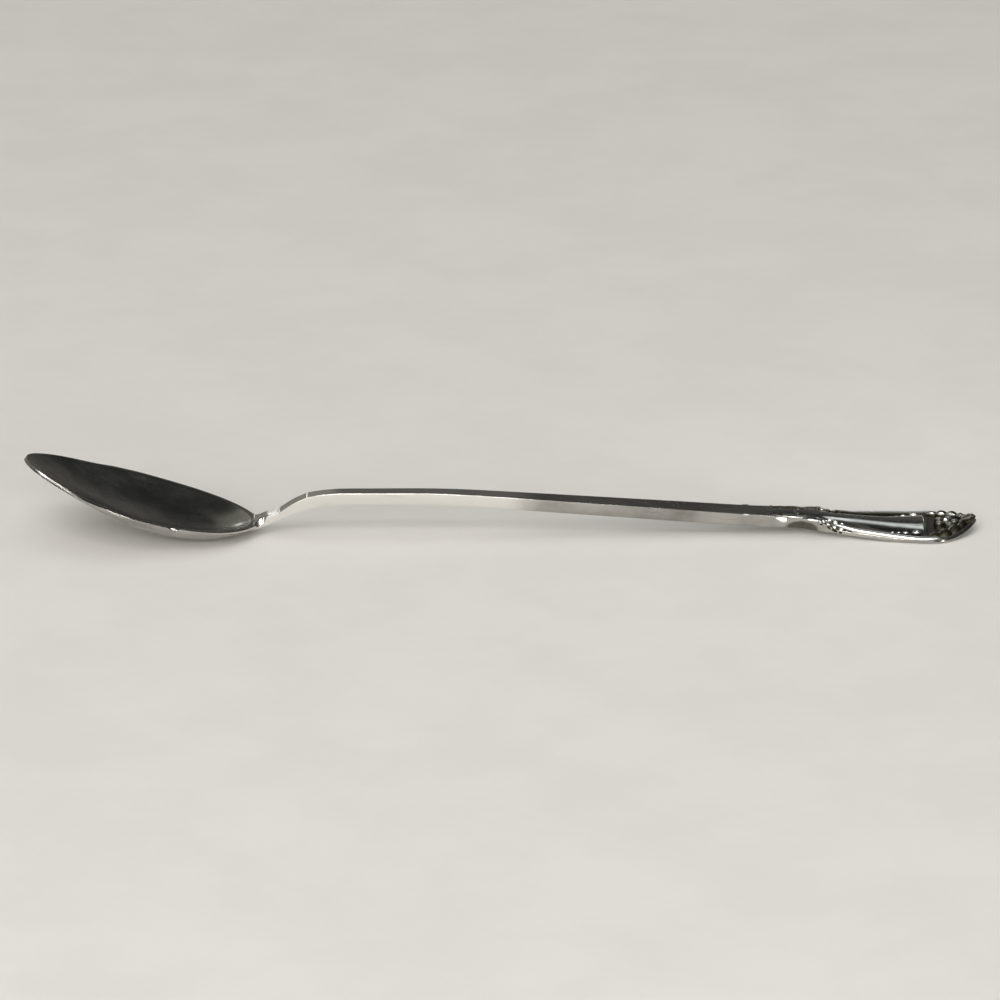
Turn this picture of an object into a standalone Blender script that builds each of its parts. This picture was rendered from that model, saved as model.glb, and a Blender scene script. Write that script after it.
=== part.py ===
"""Infant feeding spoon in silver, made up at the bench from separate soldered pieces.

X runs from the bowl's tip to the handle's tip, Z is up, and the spoon lies on Z = 0,
on the worn spot under its bowl and on the flat underside of its handle.
"""

import math

import bmesh
import bpy

# Driving dimensions, in metres
OVERALL_LENGTH = 0.1400
SOLDER_GAP = 0.0003
SCARF_LENGTH = 0.0020  # run of a slanted lap joint

# Bowl
BOWL_LENGTH = 0.0344  # tip to heel
BOWL_TIP_TO_WIDEST = 0.0172
BOWL_WIDTH = 0.0200
BOWL_DEPTH = 0.00345  # rim to underside, at the widest place
BOWL_DEPTH_LEAN = 0.38  # share by which the bowl deepens from there to the heel, and shallows to the tip
BOWL_WALL = 0.0009
BOWL_FULLNESS = 2.7  # power of the hollow's curve: 2 is a parabola, more is flatter below
BOWL_TIP_ROUNDING = 0.0046  # how far the outline runs square across the tip
BOWL_FLANK_RUN = 0.0110  # tip to the pull of the outline's flank
RIM_WIDTH = 0.0008
RIM_EDGE = 0.0003  # upright edge of the rim
RIM_TIP_RISE = 0.0103  # rim at the tip, above the rim at the heel
RIM_HEEL_SLOPE = 0.145
THROAT_SOFTNESS = 0.00035  # fillet between the bowl's outline and the neck
WORN_DEPTH = 0.00006  # metal lost from the spot that the bowl rests on

# Neck and stem
NECK_LENGTH = 0.0086  # heel to crank
NECK_WIDTH = 0.0023
NECK_THICKNESS = 0.00115
NECK_DROP = 0.00057  # underside of the neck, below the rim at the heel
NECK_JOINT_RUN = 0.0022  # heel to the middle of the neck's joint
NECK_FLANK = 0.0010  # how fast the neck's underside lifts beside it, under the bowl
NECK_REACH = 0.0015  # how far the neck runs on under the heel
CRANK_HEIGHT = 0.0050  # underside, above the table
CRANK_SOFTNESS = 0.0010
CRANK_RUN = 0.0045  # crank to where the stem runs straight again
STEM_WIDTH = 0.0024
STEM_THICKNESS = 0.0018
CRANK_TO_BEND = 0.0186
BEND_HEIGHT = 0.0048
BEND_WIDTH = 0.0026
BEND_SOFTNESS = 0.0025
SECTION_POWER = 5  # squareness of the bar's rounded section

# Handle
HANDLE_LENGTH = 0.0265  # shoulder to tip
SHOULDER_HEIGHT = 0.00125
SHOULDER_WIDTH = 0.0044
SHOULDER_THICKNESS = 0.0016
SHOULDER_SOFTNESS = 0.0015
FLARE_START = 0.0025  # shoulder to where the bar starts to become a plate
HANDLE_WIDTH = 0.0118
TIP_TO_WIDEST = 0.0077
WIDEST_SOFTNESS = 0.0008
TIP_POINTEDNESS = 0.7
TIP_BLUNT = 0.0004  # half-width of the very end
REST_LENGTH = 0.0090  # flat underside that the handle lies on
TIP_TO_REST = 0.0035
REST_SOFTNESS = 0.0010
REST_WORN = 0.00004
TIP_LIFT = 0.0013  # underside at the turned-up tip, above the table
PLATE_THICKNESS = 0.0010
EDGE_HEIGHT = 0.0005  # floor of the rabbet that a border lies in
EDGE_CORNER = 0.00025
PLAIN_STEP = 0.00005  # what is left of the rabbet's step where no border lies
RABBET_RUN = 0.0006  # run over which the rabbet sinks in ahead of the border
CROWN_RISE = 0.0007
CROWN_FADE = 0.0022  # run over which the crown dies into the plate
CHANNEL_WIDTH = 0.0008  # between border and crown
RABBET_LEAST = 0.55  # share of the half-width that the rabbet leaves where the handle closes
CROWN_LEAST = 0.30  # share of the half-width that the channel leaves there

# Applied wire and cast mounts
BORDER_WIDTH = 0.0009
BORDER_HEIGHT = 0.0005
BORDER_END = 0.5  # share of its section that a border keeps at its ends
TIP_TO_BORDER = 0.0070
BORDER_START = 0.0066  # shoulder to the front end of a border
SCROLL_WIRE = 0.00085
SCROLL_END_WIRE = 0.00055
SCROLL_INSET = 0.00025  # outline to the middle of the wire
SCROLL_HOOK = 0.00080  # radius of a hook where it starts
SCROLL_HOOK_END = 0.00058
SCROLL_HOOK_TURN = 200.0  # degrees
SCROLL_FRONT = 0.0026  # shoulder to the front hook
SCROLL_BACK = 0.0022  # shoulder to the back hook
LEAF_LENGTH = 0.0052
LEAF_WIDTH = 0.0019
LEAF_HEIGHT = 0.0008
LEAF_INSET = 0.0012  # outline to the middle of the leaf
LEAF_POINTEDNESS = 0.75
LEAF_END_HEIGHT = 0.3  # share of its height that a leaf keeps at its ends
LEAF_SECTION = ((1, 0), (1, 0.35), (0.5, 1), (0, 0.7), (-0.5, 1), (-1, 0.35), (-1, 0))  # out, up
TIP_TO_LEAF = 0.0017
ROSETTE_RADIUS = 0.0020
ROSETTE_HEIGHT = 0.0010
ROSETTE_PROFILE = ((0.94, 0), (1, 0.4), (0.72, 0.75), (0.42, 0.5), (0.34, 0.85))  # out, up
ROSETTE_PETALS = 5
PETAL_DEPTH = 0.16  # share of the radius between petals
PETAL_SHARPNESS = 8  # how narrow the cut between two petals is
TIP_TO_ROSETTE = 0.0045
PEG_RADIUS = 0.0005
PEG_HOLE_DEPTH = 0.00065
BUD_LENGTH = 0.0016
BUD_WIDTH = 0.0015
BUD_HEIGHT = 0.0007
BUD_POINTEDNESS = 0.7
BUD_LEAN = 1.2  # how far the bud's fullest place lies towards the tip
TIP_TO_BUD = 0.0003
MOUNT_BLUNT = 0.05  # share of a leaf's or bud's length that its pointed ends lose

# Counts and places of facets
TIP_STATIONS = 9
HEEL_STATIONS = 13
STUB_STATIONS = 4
OUTER_RINGS = (0.2, 0.42, 0.62, 0.8, 0.92)
INNER_RINGS = (0.9, 0.75, 0.55, 0.35, 0.17)
HALF_SECTION_STEPS = 12
CRANK_RINGS = 26
STEM_RINGS = 30
HANDLE_RINGS = (3, 8, 2, 14, 1)  # joint, flare, rabbet's front, crown, rabbet's end
TIP_RINGS = 14
BORDER_RINGS = 18
WIRE_SIDES = 8
ROSETTE_SIDES = 40
MOUNT_RINGS = 10
HOOK_STEPS = 10
RUN_STEPS = 6
FLAT_SHARES = (0, 0.4, 0.75)  # of the half-width, across the handle's flat underside
CORNER_SHARE = 0.3
CROWN_SHARES = (1, 0.68, 0.36, 0)
SHARP_EDGE = 35.0  # degrees

# Places along the spoon
X_BOWL_TIP = -OVERALL_LENGTH / 2
X_BOWL_WIDEST = X_BOWL_TIP + BOWL_TIP_TO_WIDEST
X_HEEL = X_BOWL_TIP + BOWL_LENGTH
X_NECK_JOINT = X_HEEL + NECK_JOINT_RUN
X_CRANK = X_HEEL + NECK_LENGTH
X_BEND = X_CRANK + CRANK_TO_BEND
X_TIP = OVERALL_LENGTH / 2
X_SHOULDER = X_TIP - HANDLE_LENGTH
X_FLARE = X_SHOULDER + FLARE_START
X_WIDEST = X_TIP - TIP_TO_WIDEST
X_REST_BACK = X_TIP - TIP_TO_REST
X_REST_FRONT = X_REST_BACK - REST_LENGTH
X_BORDER_FRONT = X_SHOULDER + BORDER_START
X_BORDER_BACK = X_TIP - TIP_TO_BORDER
X_RABBET_FRONT = X_BORDER_FRONT - SOLDER_GAP - RABBET_RUN
X_ROSETTE = X_TIP - TIP_TO_ROSETTE
HEEL_RUN = X_HEEL - X_BOWL_WIDEST

SIDES = {"left": -1, "right": 1}

# Finishes: colour, roughness
POLISHED = ((0.80, 0.78, 0.74), 0.16)
OXIDISED = ((0.62, 0.60, 0.56), 0.28)


def mix(a, b, share):
    return a + (b - a) * share


def smooth_step(share):
    share = min(max(share, 0.0), 1.0)
    return share * share * (3 - 2 * share)


def soft_ramp(distance, softness):
    """Zero before the corner and the distance after it, with the corner rounded."""
    steps = distance / softness
    return distance if steps > 40 else softness * math.log1p(math.exp(steps))


def soft_higher(a, b, softness):
    return b + soft_ramp(a - b, softness)


def soft_lower(a, b, softness):
    return -soft_higher(-a, -b, softness)


def bent_line(x, corners):
    """A line through corners (x, value, softness), straight between them and softly bent at each."""
    (x_first, value, _), (x_next, next_value, _) = corners[:2]
    slope = (next_value - value) / (x_next - x_first)
    value += slope * (x - x_first)
    for (x_a, a, softness), (x_b, b, _) in zip(corners[1:], corners[2:]):
        next_slope = (b - a) / (x_b - x_a)
        value += (next_slope - slope) * soft_ramp(x - x_a, softness)
        slope = next_slope
    return value


def rim_rise(x):
    """Height of the bowl's rim above its heel: a parabola that steepens towards the tip."""
    run = max(X_HEEL - x, 0.0)
    bend = (RIM_TIP_RISE - RIM_HEEL_SLOPE * BOWL_LENGTH) / BOWL_LENGTH**2
    return RIM_HEEL_SLOPE * run + bend * run**2


def hollow(x, ratio):
    """Share of the bowl's depth at x, by the share of the way out to the outline."""
    lean = 1 + BOWL_DEPTH_LEAN * (x - X_BOWL_WIDEST) / HEEL_RUN
    return lean * (1 - min(ratio, 1.0) ** BOWL_FULLNESS)


def outer_depth(x, ratio):
    """Depth of the bowl's underside below the rim."""
    return RIM_EDGE + (BOWL_DEPTH - RIM_EDGE) * hollow(x, ratio)


def heel_height():
    """Height of the rim at the heel that puts the bowl's lowest place on the table."""
    steps = 400
    lowest = 0.0
    for step in range(steps + 1):
        x = mix(X_BOWL_WIDEST, X_HEEL, step / steps)
        lowest = min(lowest, rim_rise(x) - outer_depth(x, (x - X_BOWL_WIDEST) / HEEL_RUN))
    return -lowest - WORN_DEPTH


HEEL_HEIGHT = heel_height()

UNDERSIDE = (
    (X_HEEL, HEEL_HEIGHT - NECK_DROP, 0),
    (X_CRANK, CRANK_HEIGHT, CRANK_SOFTNESS),
    (X_BEND, BEND_HEIGHT, BEND_SOFTNESS),
    (X_SHOULDER, SHOULDER_HEIGHT, SHOULDER_SOFTNESS),
    (X_REST_FRONT, -REST_WORN, REST_SOFTNESS),
    (X_REST_BACK, -REST_WORN, REST_SOFTNESS),
    (X_TIP, TIP_LIFT, 0),
)
WIDTHS = (
    (X_HEEL, NECK_WIDTH, 0),
    (X_CRANK, STEM_WIDTH, CRANK_SOFTNESS),
    (X_BEND, BEND_WIDTH, BEND_SOFTNESS),
    (X_SHOULDER, SHOULDER_WIDTH, SHOULDER_SOFTNESS),
    (X_WIDEST, HANDLE_WIDTH, WIDEST_SOFTNESS),
    (X_TIP, HANDLE_WIDTH, 0),
)
THICKNESSES = (
    (X_HEEL, NECK_THICKNESS, 0),
    (X_CRANK, STEM_THICKNESS, CRANK_SOFTNESS),
    (X_SHOULDER, SHOULDER_THICKNESS, SHOULDER_SOFTNESS),
    (X_TIP, SHOULDER_THICKNESS, 0),
)


def underside(x):
    return max(bent_line(x, UNDERSIDE), 0.0) if x > X_SHOULDER else bent_line(x, UNDERSIDE)


def upright(x):
    """Upright height of a metre of thickness where the bar slopes."""
    step = 1e-5
    slope = (bent_line(x + step, UNDERSIDE) - bent_line(x - step, UNDERSIDE)) / (2 * step)
    return math.hypot(1, slope)


def half_width(x):
    wide = bent_line(x, WIDTHS) / 2
    past = min(max((x - X_WIDEST) / TIP_TO_WIDEST, 0.0), 1.0)
    return max(wide * (1 - past**2) ** TIP_POINTEDNESS, TIP_BLUNT)


def bar_top(x):
    return underside(x) + bent_line(x, THICKNESSES) * upright(x)


def plate_top(x):
    return underside(x) + PLATE_THICKNESS


def rim_line(x):
    """Top of the rim, which runs up onto the neck at the heel."""
    return soft_higher(HEEL_HEIGHT + rim_rise(x), bar_top(x), THROAT_SOFTNESS)


def scarf_shift(height_share):
    """How far along X a slanted joint lies at a share of the bar's thickness."""
    return SCARF_LENGTH * (height_share - 0.5)


def scarf_gap(x):
    """Solder gap of a slanted joint, measured along X."""
    return SOLDER_GAP * math.hypot(1, SCARF_LENGTH / bent_line(x, THICKNESSES))


def bar_half_section():
    """Half of the bar's rounded section as (share of half-width, share of thickness), bottom to top."""
    points = []
    for step in range(HALF_SECTION_STEPS + 1):
        angle = math.pi * (step / HALF_SECTION_STEPS - 0.5)
        out = abs(math.cos(angle)) ** (2 / SECTION_POWER) if 0 < step < HALF_SECTION_STEPS else 0.0
        rise = math.copysign(abs(math.sin(angle)) ** (2 / SECTION_POWER), math.sin(angle))
        points.append((out, 0.5 + 0.5 * rise))
    return points


BAR_HALF_SECTION = bar_half_section()


def plate_half_section(x):
    """Half of the handle's section as (y, height): flat below, rabbet at the edge, channel and crown."""
    wide = half_width(x)
    under_border = smooth_step((X_BORDER_BACK + SOLDER_GAP - x) / SOLDER_GAP)
    under_border *= smooth_step((x - X_RABBET_FRONT) / RABBET_RUN)
    edge = mix(PLATE_THICKNESS - PLAIN_STEP, EDGE_HEIGHT, under_border)
    rabbet = max(wide - BORDER_WIDTH - SOLDER_GAP, wide * RABBET_LEAST)
    foot = max(rabbet - CHANNEL_WIDTH, wide * CROWN_LEAST)
    crown = CROWN_RISE * smooth_step((X_BORDER_BACK - x) / CROWN_FADE)
    corner = min(EDGE_CORNER, wide / 2)
    cut = corner * CORNER_SHARE
    points = [((wide - corner) * share, 0) for share in FLAT_SHARES]
    points += [(wide - corner, 0), (wide - cut, cut), (wide, corner), (wide, edge)]
    points += [(rabbet, edge), (rabbet, PLATE_THICKNESS)]
    for share in CROWN_SHARES:
        points.append((foot * share, PLATE_THICKNESS + crown * (1 - share**2)))
    return points


def bar_point(x, index):
    """Point of the bar or handle at x, by its place in the half section: (y, z)."""
    out, rise = BAR_HALF_SECTION[index]
    y = out * half_width(x)
    height = rise * bent_line(x, THICKNESSES) * upright(x)
    flare = smooth_step((x - X_FLARE) / (X_RABBET_FRONT - X_FLARE))
    if flare > 0:
        plate_y, plate_height = plate_half_section(x)[index]
        y, height = mix(y, plate_y, flare), mix(height, plate_height, flare)
    return y, underside(x) + height


def bar_ring(x, slant):
    """Closed section of the bar at x, leaning by a share of the scarf's slant."""
    half = []
    for index, (_, rise) in enumerate(BAR_HALF_SECTION):
        at = x + slant * scarf_shift(rise)
        y, z = bar_point(at, index)
        half.append((at, y, z))
    other = [(at, -y, z) for at, y, z in reversed(half[1:-1])]
    return half + other


def skin(name, rings, finish):
    """Closed body through rings of as many points each; an end ring of one point is a pole."""
    shape = bmesh.new()
    loops = [[shape.verts.new(point) for point in ring] for ring in rings]
    for lower, upper in zip(loops, loops[1:]):
        count = max(len(lower), len(upper))
        for i in range(count):
            j = (i + 1) % count
            corners = [lower[i % len(lower)], lower[j % len(lower)]]
            corners += [upper[j % len(upper)], upper[i % len(upper)]]
            shape.faces.new(list(dict.fromkeys(corners)))
    for end in (loops[0], loops[-1]):
        if len(end) > 2:
            shape.faces.new(end)
    bmesh.ops.recalc_face_normals(shape, faces=shape.faces)
    mesh = bpy.data.meshes.new(name)
    shape.to_mesh(mesh)
    shape.free()
    mesh.shade_smooth()
    mesh.set_sharp_from_angle(angle=math.radians(SHARP_EDGE))
    piece = bpy.data.objects.new(name, mesh)
    bpy.context.scene.collection.objects.link(piece)
    mesh.materials.append(silver(name, *finish))
    return piece


def silver(name, colour, roughness):
    material = bpy.data.materials.new(name + "_silver")
    material.use_nodes = True
    shader = material.node_tree.nodes["Principled BSDF"]
    shader.inputs["Base Color"].default_value = (*colour, 1)
    shader.inputs["Roughness"].default_value = roughness
    shader.inputs["Metallic"].default_value = 1
    return material


def tip_outline(inset):
    """Half outline from the tip to the widest place: a curve square to the axis at both ends."""
    half = BOWL_WIDTH / 2 - inset
    run = BOWL_TIP_TO_WIDEST - inset
    pull = BOWL_FLANK_RUN * run / BOWL_TIP_TO_WIDEST
    rounding = BOWL_TIP_ROUNDING * half / (BOWL_WIDTH / 2)
    points = []
    for step in range(TIP_STATIONS + 1):
        t = step / TIP_STATIONS
        x = 3 * (1 - t) * t**2 * pull + t**3 * run
        y = 3 * (1 - t) ** 2 * t * rounding + 3 * (1 - t) * t**2 * half + t**3 * half
        points.append((X_BOWL_WIDEST - run + x, y))
    return points


def heel_half_width(x):
    """Half outline from the widest place to the neck: an ellipse that flows into the neck's sides."""
    neck = half_width(max(x, X_HEEL))
    short = 1 - soft_ramp(X_HEEL - x, THROAT_SOFTNESS) / HEEL_RUN
    oval = (1 - max(short, 0.0) ** 2) * ((BOWL_WIDTH / 2) ** 2 - neck**2)
    return math.sqrt(neck**2 + oval)


def bowl_stations():
    """Half outlines of the bowl, tip to neck, as (upper edge, lower edge, inner edge) points."""
    stations = []
    for outer, inner in zip(tip_outline(0), tip_outline(RIM_WIDTH)):
        stations.append((outer, outer, inner))
    heel = []
    for step in range(1, HEEL_STATIONS):
        x = X_BOWL_WIDEST + HEEL_RUN * math.sin(math.pi / 2 * step / HEEL_STATIONS)
        heel.append((x, x))
    end = X_NECK_JOINT - scarf_gap(X_NECK_JOINT) / 2
    for step in range(1, STUB_STATIONS + 1):
        share = step / STUB_STATIONS
        upper = mix(X_HEEL, end + scarf_shift(1), share)
        lower = mix(X_HEEL, end + scarf_shift(0), share)
        heel.append((upper, lower))
    for x_upper, x_lower in heel:
        upper = (x_upper, heel_half_width(x_upper))
        lower = (x_lower, heel_half_width(x_lower))
        run = x_upper - X_BOWL_WIDEST
        reach = math.hypot(run / (HEEL_RUN - RIM_WIDTH), upper[1] / (BOWL_WIDTH / 2 - RIM_WIDTH))
        stations.append((upper, lower, (X_BOWL_WIDEST + run / reach, upper[1] / reach)))
    return stations


def bowl_bottom(x, y, share):
    """Underside of the bowl, joined softly to the underside of the neck, with the worn spot flat."""
    ratio = share
    if x > X_BOWL_WIDEST:
        ratio = math.hypot((x - X_BOWL_WIDEST) / HEEL_RUN, y / (BOWL_WIDTH / 2))
    beside = max(abs(y) / (NECK_WIDTH / 2) - 1, 0.0)
    past = max(X_HEEL - NECK_REACH - x, 0.0)
    neck = underside(x + past) + past + NECK_FLANK * beside**2
    return max(soft_lower(rim_line(x) - outer_depth(x, ratio), neck, THROAT_SOFTNESS), 0.0)


def bowl_inside(x, share):
    return rim_line(x) - (BOWL_DEPTH - BOWL_WALL) * hollow(x, share)


def both_sides(half):
    """A half loop that starts on the axis, closed by its mirror image."""
    return half + [(x, -y, z) for x, y, z in reversed(half[1:])]


def towards_middle(point, share):
    return mix(X_BOWL_WIDEST, point[0], share), point[1] * share


def make_bowl():
    upper, lower, inner = zip(*bowl_stations())
    rings = [[(X_BOWL_WIDEST, 0, bowl_bottom(X_BOWL_WIDEST, 0, 0))]]
    for share in (*OUTER_RINGS, 1):
        places = [towards_middle(point, share) for point in lower]
        rings.append(both_sides([(x, y, bowl_bottom(x, y, share)) for x, y in places]))
    rings.append(both_sides([(x, y, rim_line(x)) for x, y in upper]))
    rings.append(both_sides([(x, y, rim_line(x)) for x, y in inner]))
    for share in INNER_RINGS:
        places = [towards_middle(point, share) for point in inner]
        rings.append(both_sides([(x, y, bowl_inside(x, share)) for x, y in places]))
    rings.append([(X_BOWL_WIDEST, 0, bowl_inside(X_BOWL_WIDEST, 0))])
    skin("bowl", rings, POLISHED)


def make_stem():
    front = X_NECK_JOINT + scarf_gap(X_NECK_JOINT) / 2
    back = X_SHOULDER - scarf_gap(X_SHOULDER) / 2
    crank_end = X_CRANK + CRANK_RUN
    places = [mix(front, crank_end, i / CRANK_RINGS) for i in range(CRANK_RINGS)]
    places += [mix(crank_end, back, i / STEM_RINGS) for i in range(STEM_RINGS + 1)]
    rings = []
    for x in places:
        near_end = min(x - front, back - x) / (2 * SCARF_LENGTH)
        rings.append(bar_ring(x, max(1 - near_end, 0.0)))
    skin("stem", rings, POLISHED)


def handle_places():
    """Places of the handle's sections, closer together where it flares and where it closes at the tip."""
    front = X_SHOULDER + scarf_gap(X_SHOULDER) / 2
    rabbet_end = X_BORDER_BACK + SOLDER_GAP
    stops = (front, X_FLARE, X_RABBET_FRONT, X_RABBET_FRONT + RABBET_RUN, X_BORDER_BACK, rabbet_end)
    places = []
    for start, end, count in zip(stops, stops[1:], HANDLE_RINGS):
        places += [mix(start, end, i / count) for i in range(count)]
    tip_shares = [math.sin(math.pi / 2 * i / TIP_RINGS) for i in range(TIP_RINGS + 1)]
    return places + [mix(rabbet_end, X_TIP, share) for share in tip_shares]


def make_handle():
    rings = []
    front = handle_places()[0]
    for x in handle_places():
        rings.append(bar_ring(x, max(1 - (x - front) / (2 * SCARF_LENGTH), 0.0)))
    plate = skin("handle", rings, POLISHED)
    drill = skin("peg_hole_drill", peg_hole_rings(), POLISHED)
    drill.hide_render = True
    drill.display_type = "WIRE"
    cut = plate.modifiers.new("peg hole", "BOOLEAN")
    cut.operation = "DIFFERENCE"
    cut.object = drill


def circle(x, radius, z, sides):
    turns = [2 * math.pi * i / sides for i in range(sides)]
    return [(x + radius * math.cos(turn), radius * math.sin(turn), z) for turn in turns]


def peg_hole_rings():
    floor = plate_top(X_ROSETTE) - PEG_HOLE_DEPTH
    radius = PEG_RADIUS + SOLDER_GAP
    above = rosette_seat() + ROSETTE_HEIGHT
    return [circle(X_ROSETTE, radius, z, ROSETTE_SIDES) for z in (floor, above)]


def make_border(side):
    rings = []
    for step in range(BORDER_RINGS + 1):
        x = mix(X_BORDER_FRONT, X_BORDER_BACK, step / BORDER_RINGS)
        full = BORDER_END if step in (0, BORDER_RINGS) else 1.0
        middle = half_width(x) - BORDER_WIDTH / 2
        seat = underside(x) + EDGE_HEIGHT + SOLDER_GAP
        ring = []
        for i in range(WIRE_SIDES):
            turn = math.pi * i / (WIRE_SIDES - 1)
            y = middle + full * BORDER_WIDTH / 2 * math.cos(turn)
            ring.append((x, SIDES[side] * y, seat + full * BORDER_HEIGHT * math.sin(turn)))
        rings.append(ring)
    skin("border_" + side, rings, POLISHED)


def scroll_path():
    """Middle line of a C-scroll as (x, y): a run along the outline with a hook turned in at each end."""
    fronts, backs = [], []
    hooks = ((X_SHOULDER - SCROLL_FRONT, -1, fronts), (X_SHOULDER + SCROLL_BACK, 1, backs))
    for x_end, ahead, points in hooks:
        y_middle = half_width(x_end) - SCROLL_INSET - SCROLL_HOOK
        for step in range(HOOK_STEPS + 1):
            share = step / HOOK_STEPS
            turn = math.radians(SCROLL_HOOK_TURN) * share
            radius = mix(SCROLL_HOOK, SCROLL_HOOK_END, share)
            points.append((x_end + ahead * radius * math.sin(turn), y_middle + radius * math.cos(turn)))
    run = []
    for step in range(1, RUN_STEPS):
        x = mix(fronts[0][0], backs[0][0], step / RUN_STEPS)
        run.append((x, half_width(x) - SCROLL_INSET))
    return fronts[::-1] + run + backs


def make_scroll(side):
    path = scroll_path()
    rings = []
    for i, (x, y) in enumerate(path):
        before, after = path[max(i - 1, 0)], path[min(i + 1, len(path) - 1)]
        along = math.atan2(after[1] - before[1], after[0] - before[0])
        middle_share = math.sin(math.pi * i / (len(path) - 1))
        radius = mix(SCROLL_END_WIRE, SCROLL_WIRE, middle_share) / 2
        seat = bar_top(x) + SOLDER_GAP
        ring = []
        for step in range(WIRE_SIDES):
            turn = 2 * math.pi * step / WIRE_SIDES
            out = radius * math.cos(turn)
            z = seat + radius * (1 + math.sin(turn))
            ring.append((x - out * math.sin(along), SIDES[side] * (y + out * math.cos(along)), z))
        rings.append(ring)
    skin("scroll_" + side, rings, OXIDISED)


def make_leaf(side):
    """Pointed leaf along the outline, with a groove down its middle."""
    rings = []
    back = X_TIP - TIP_TO_LEAF
    for step in range(MOUNT_RINGS + 1):
        share = mix(MOUNT_BLUNT, 1 - MOUNT_BLUNT, step / MOUNT_RINGS)
        x = mix(back - LEAF_LENGTH, back, share)
        full = math.sin(math.pi * share) ** LEAF_POINTEDNESS
        height = LEAF_HEIGHT * mix(LEAF_END_HEIGHT, 1, full)
        middle = half_width(x) - LEAF_INSET
        seat = plate_top(x) + SOLDER_GAP
        ring = []
        for out, rise in LEAF_SECTION:
            y = middle + out * full * LEAF_WIDTH / 2
            ring.append((x, SIDES[side] * y, seat + rise * height))
        rings.append(ring)
    skin("leaf_" + side, rings, OXIDISED)


def rosette_seat():
    """Height of the flat back of the rosette, clear of the plate all over."""
    return plate_top(X_ROSETTE + ROSETTE_RADIUS) + SOLDER_GAP


def petal_ring(radius, z):
    """Ring of a flower, drawn in between its petals."""
    ring = []
    for i in range(ROSETTE_SIDES):
        turn = 2 * math.pi * i / ROSETTE_SIDES
        between = abs(math.sin(ROSETTE_PETALS * turn / 2)) ** PETAL_SHARPNESS
        reach = radius * (1 - PETAL_DEPTH * between)
        ring.append((X_ROSETTE + reach * math.cos(turn), reach * math.sin(turn), z))
    return ring


def make_rosette():
    seat = rosette_seat()
    peg_end = plate_top(X_ROSETTE) - PEG_HOLE_DEPTH + SOLDER_GAP
    rings = [circle(X_ROSETTE, PEG_RADIUS, z, ROSETTE_SIDES) for z in (peg_end, seat)]
    for radius_share, height_share in ROSETTE_PROFILE:
        rings.append(petal_ring(radius_share * ROSETTE_RADIUS, seat + height_share * ROSETTE_HEIGHT))
    rings.append([(X_ROSETTE, 0, seat + ROSETTE_HEIGHT)])
    skin("rosette", rings, OXIDISED)


def make_bud():
    """Pointed bud on the very end of the handle."""
    rings = []
    back = X_TIP - TIP_TO_BUD
    for step in range(MOUNT_RINGS + 1):
        share = mix(MOUNT_BLUNT, 1 - MOUNT_BLUNT, step / MOUNT_RINGS)
        x = mix(back - BUD_LENGTH, back, share)
        full = math.sin(math.pi * share**BUD_LEAN) ** BUD_POINTEDNESS
        seat = plate_top(x) + SOLDER_GAP
        ring = []
        for i in range(WIRE_SIDES):
            turn = math.pi * i / (WIRE_SIDES - 1)
            y = full * BUD_WIDTH / 2 * math.cos(turn)
            ring.append((x, y, seat + full * BUD_HEIGHT * math.sin(turn)))
        rings.append(ring)
    skin("bud", rings, OXIDISED)


def clear_scene():
    for item in list(bpy.data.objects):
        bpy.data.objects.remove(item, do_unlink=True)


def main():
    clear_scene()
    make_bowl()
    make_stem()
    make_handle()
    for side in SIDES:
        make_border(side)
        make_scroll(side)
        make_leaf(side)
    make_rosette()
    make_bud()


main()
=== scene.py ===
"""Silver infant feeding spoon: the dressed pieces, their finishes and a plain studio.

X runs from the bowl's tip to the handle's tip, Y away from the camera and Z up. Sizes are in
millimetres, and a piece turns to metres when its mesh is made.
"""

import logging
import math
from dataclasses import dataclass, field
from enum import Enum
from typing import Any, Sequence, Union

import bmesh
import bpy
import numpy as np
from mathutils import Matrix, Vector


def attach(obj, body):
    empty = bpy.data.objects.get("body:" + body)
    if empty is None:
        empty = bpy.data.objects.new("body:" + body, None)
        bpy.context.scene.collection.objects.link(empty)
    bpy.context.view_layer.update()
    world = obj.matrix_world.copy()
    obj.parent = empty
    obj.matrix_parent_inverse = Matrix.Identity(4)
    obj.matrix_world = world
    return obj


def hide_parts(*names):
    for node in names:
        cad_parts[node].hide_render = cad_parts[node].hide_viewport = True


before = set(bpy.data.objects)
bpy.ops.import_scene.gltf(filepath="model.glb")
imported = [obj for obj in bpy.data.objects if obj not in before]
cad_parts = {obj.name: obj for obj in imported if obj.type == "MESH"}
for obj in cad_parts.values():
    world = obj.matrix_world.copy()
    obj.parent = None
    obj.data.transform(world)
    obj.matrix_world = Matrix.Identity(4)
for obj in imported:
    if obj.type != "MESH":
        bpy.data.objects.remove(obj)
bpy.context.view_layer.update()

LOG = logging.getLogger("spoon")
Array = np.ndarray
Number = Union[float, Array]
Colour = tuple[float, float, float]
Corner = tuple[float, float, float]

METRES = 0.001
WELD = 2e-7


class Side(Enum):
    """Half of the spoon that a paired piece lies on."""

    LEFT = -1
    RIGHT = 1

    @property
    def label(self) -> str:
        """Its word in a piece's name."""
        return self.name.lower()


class Slot(Enum):
    """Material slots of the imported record."""

    POLISHED = "polished_silver"
    OXIDISED = "oxidised_silver"


def mix(a: Number, b: Number, share: Number) -> Number:
    """Value between a and b, in proportion to the share."""
    return a + (b - a) * share


def smooth_step(share: Number) -> Array:
    """Cubic ease from 0 to 1, level at both ends."""
    share = np.clip(share, 0.0, 1.0)
    return share * share * (3 - 2 * share)


def soft_ramp(distance: Number, softness: float) -> Array:
    """Zero before the corner and the distance after it, with the corner rounded."""
    return softness * np.logaddexp(0.0, np.asarray(distance) / softness)


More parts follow.
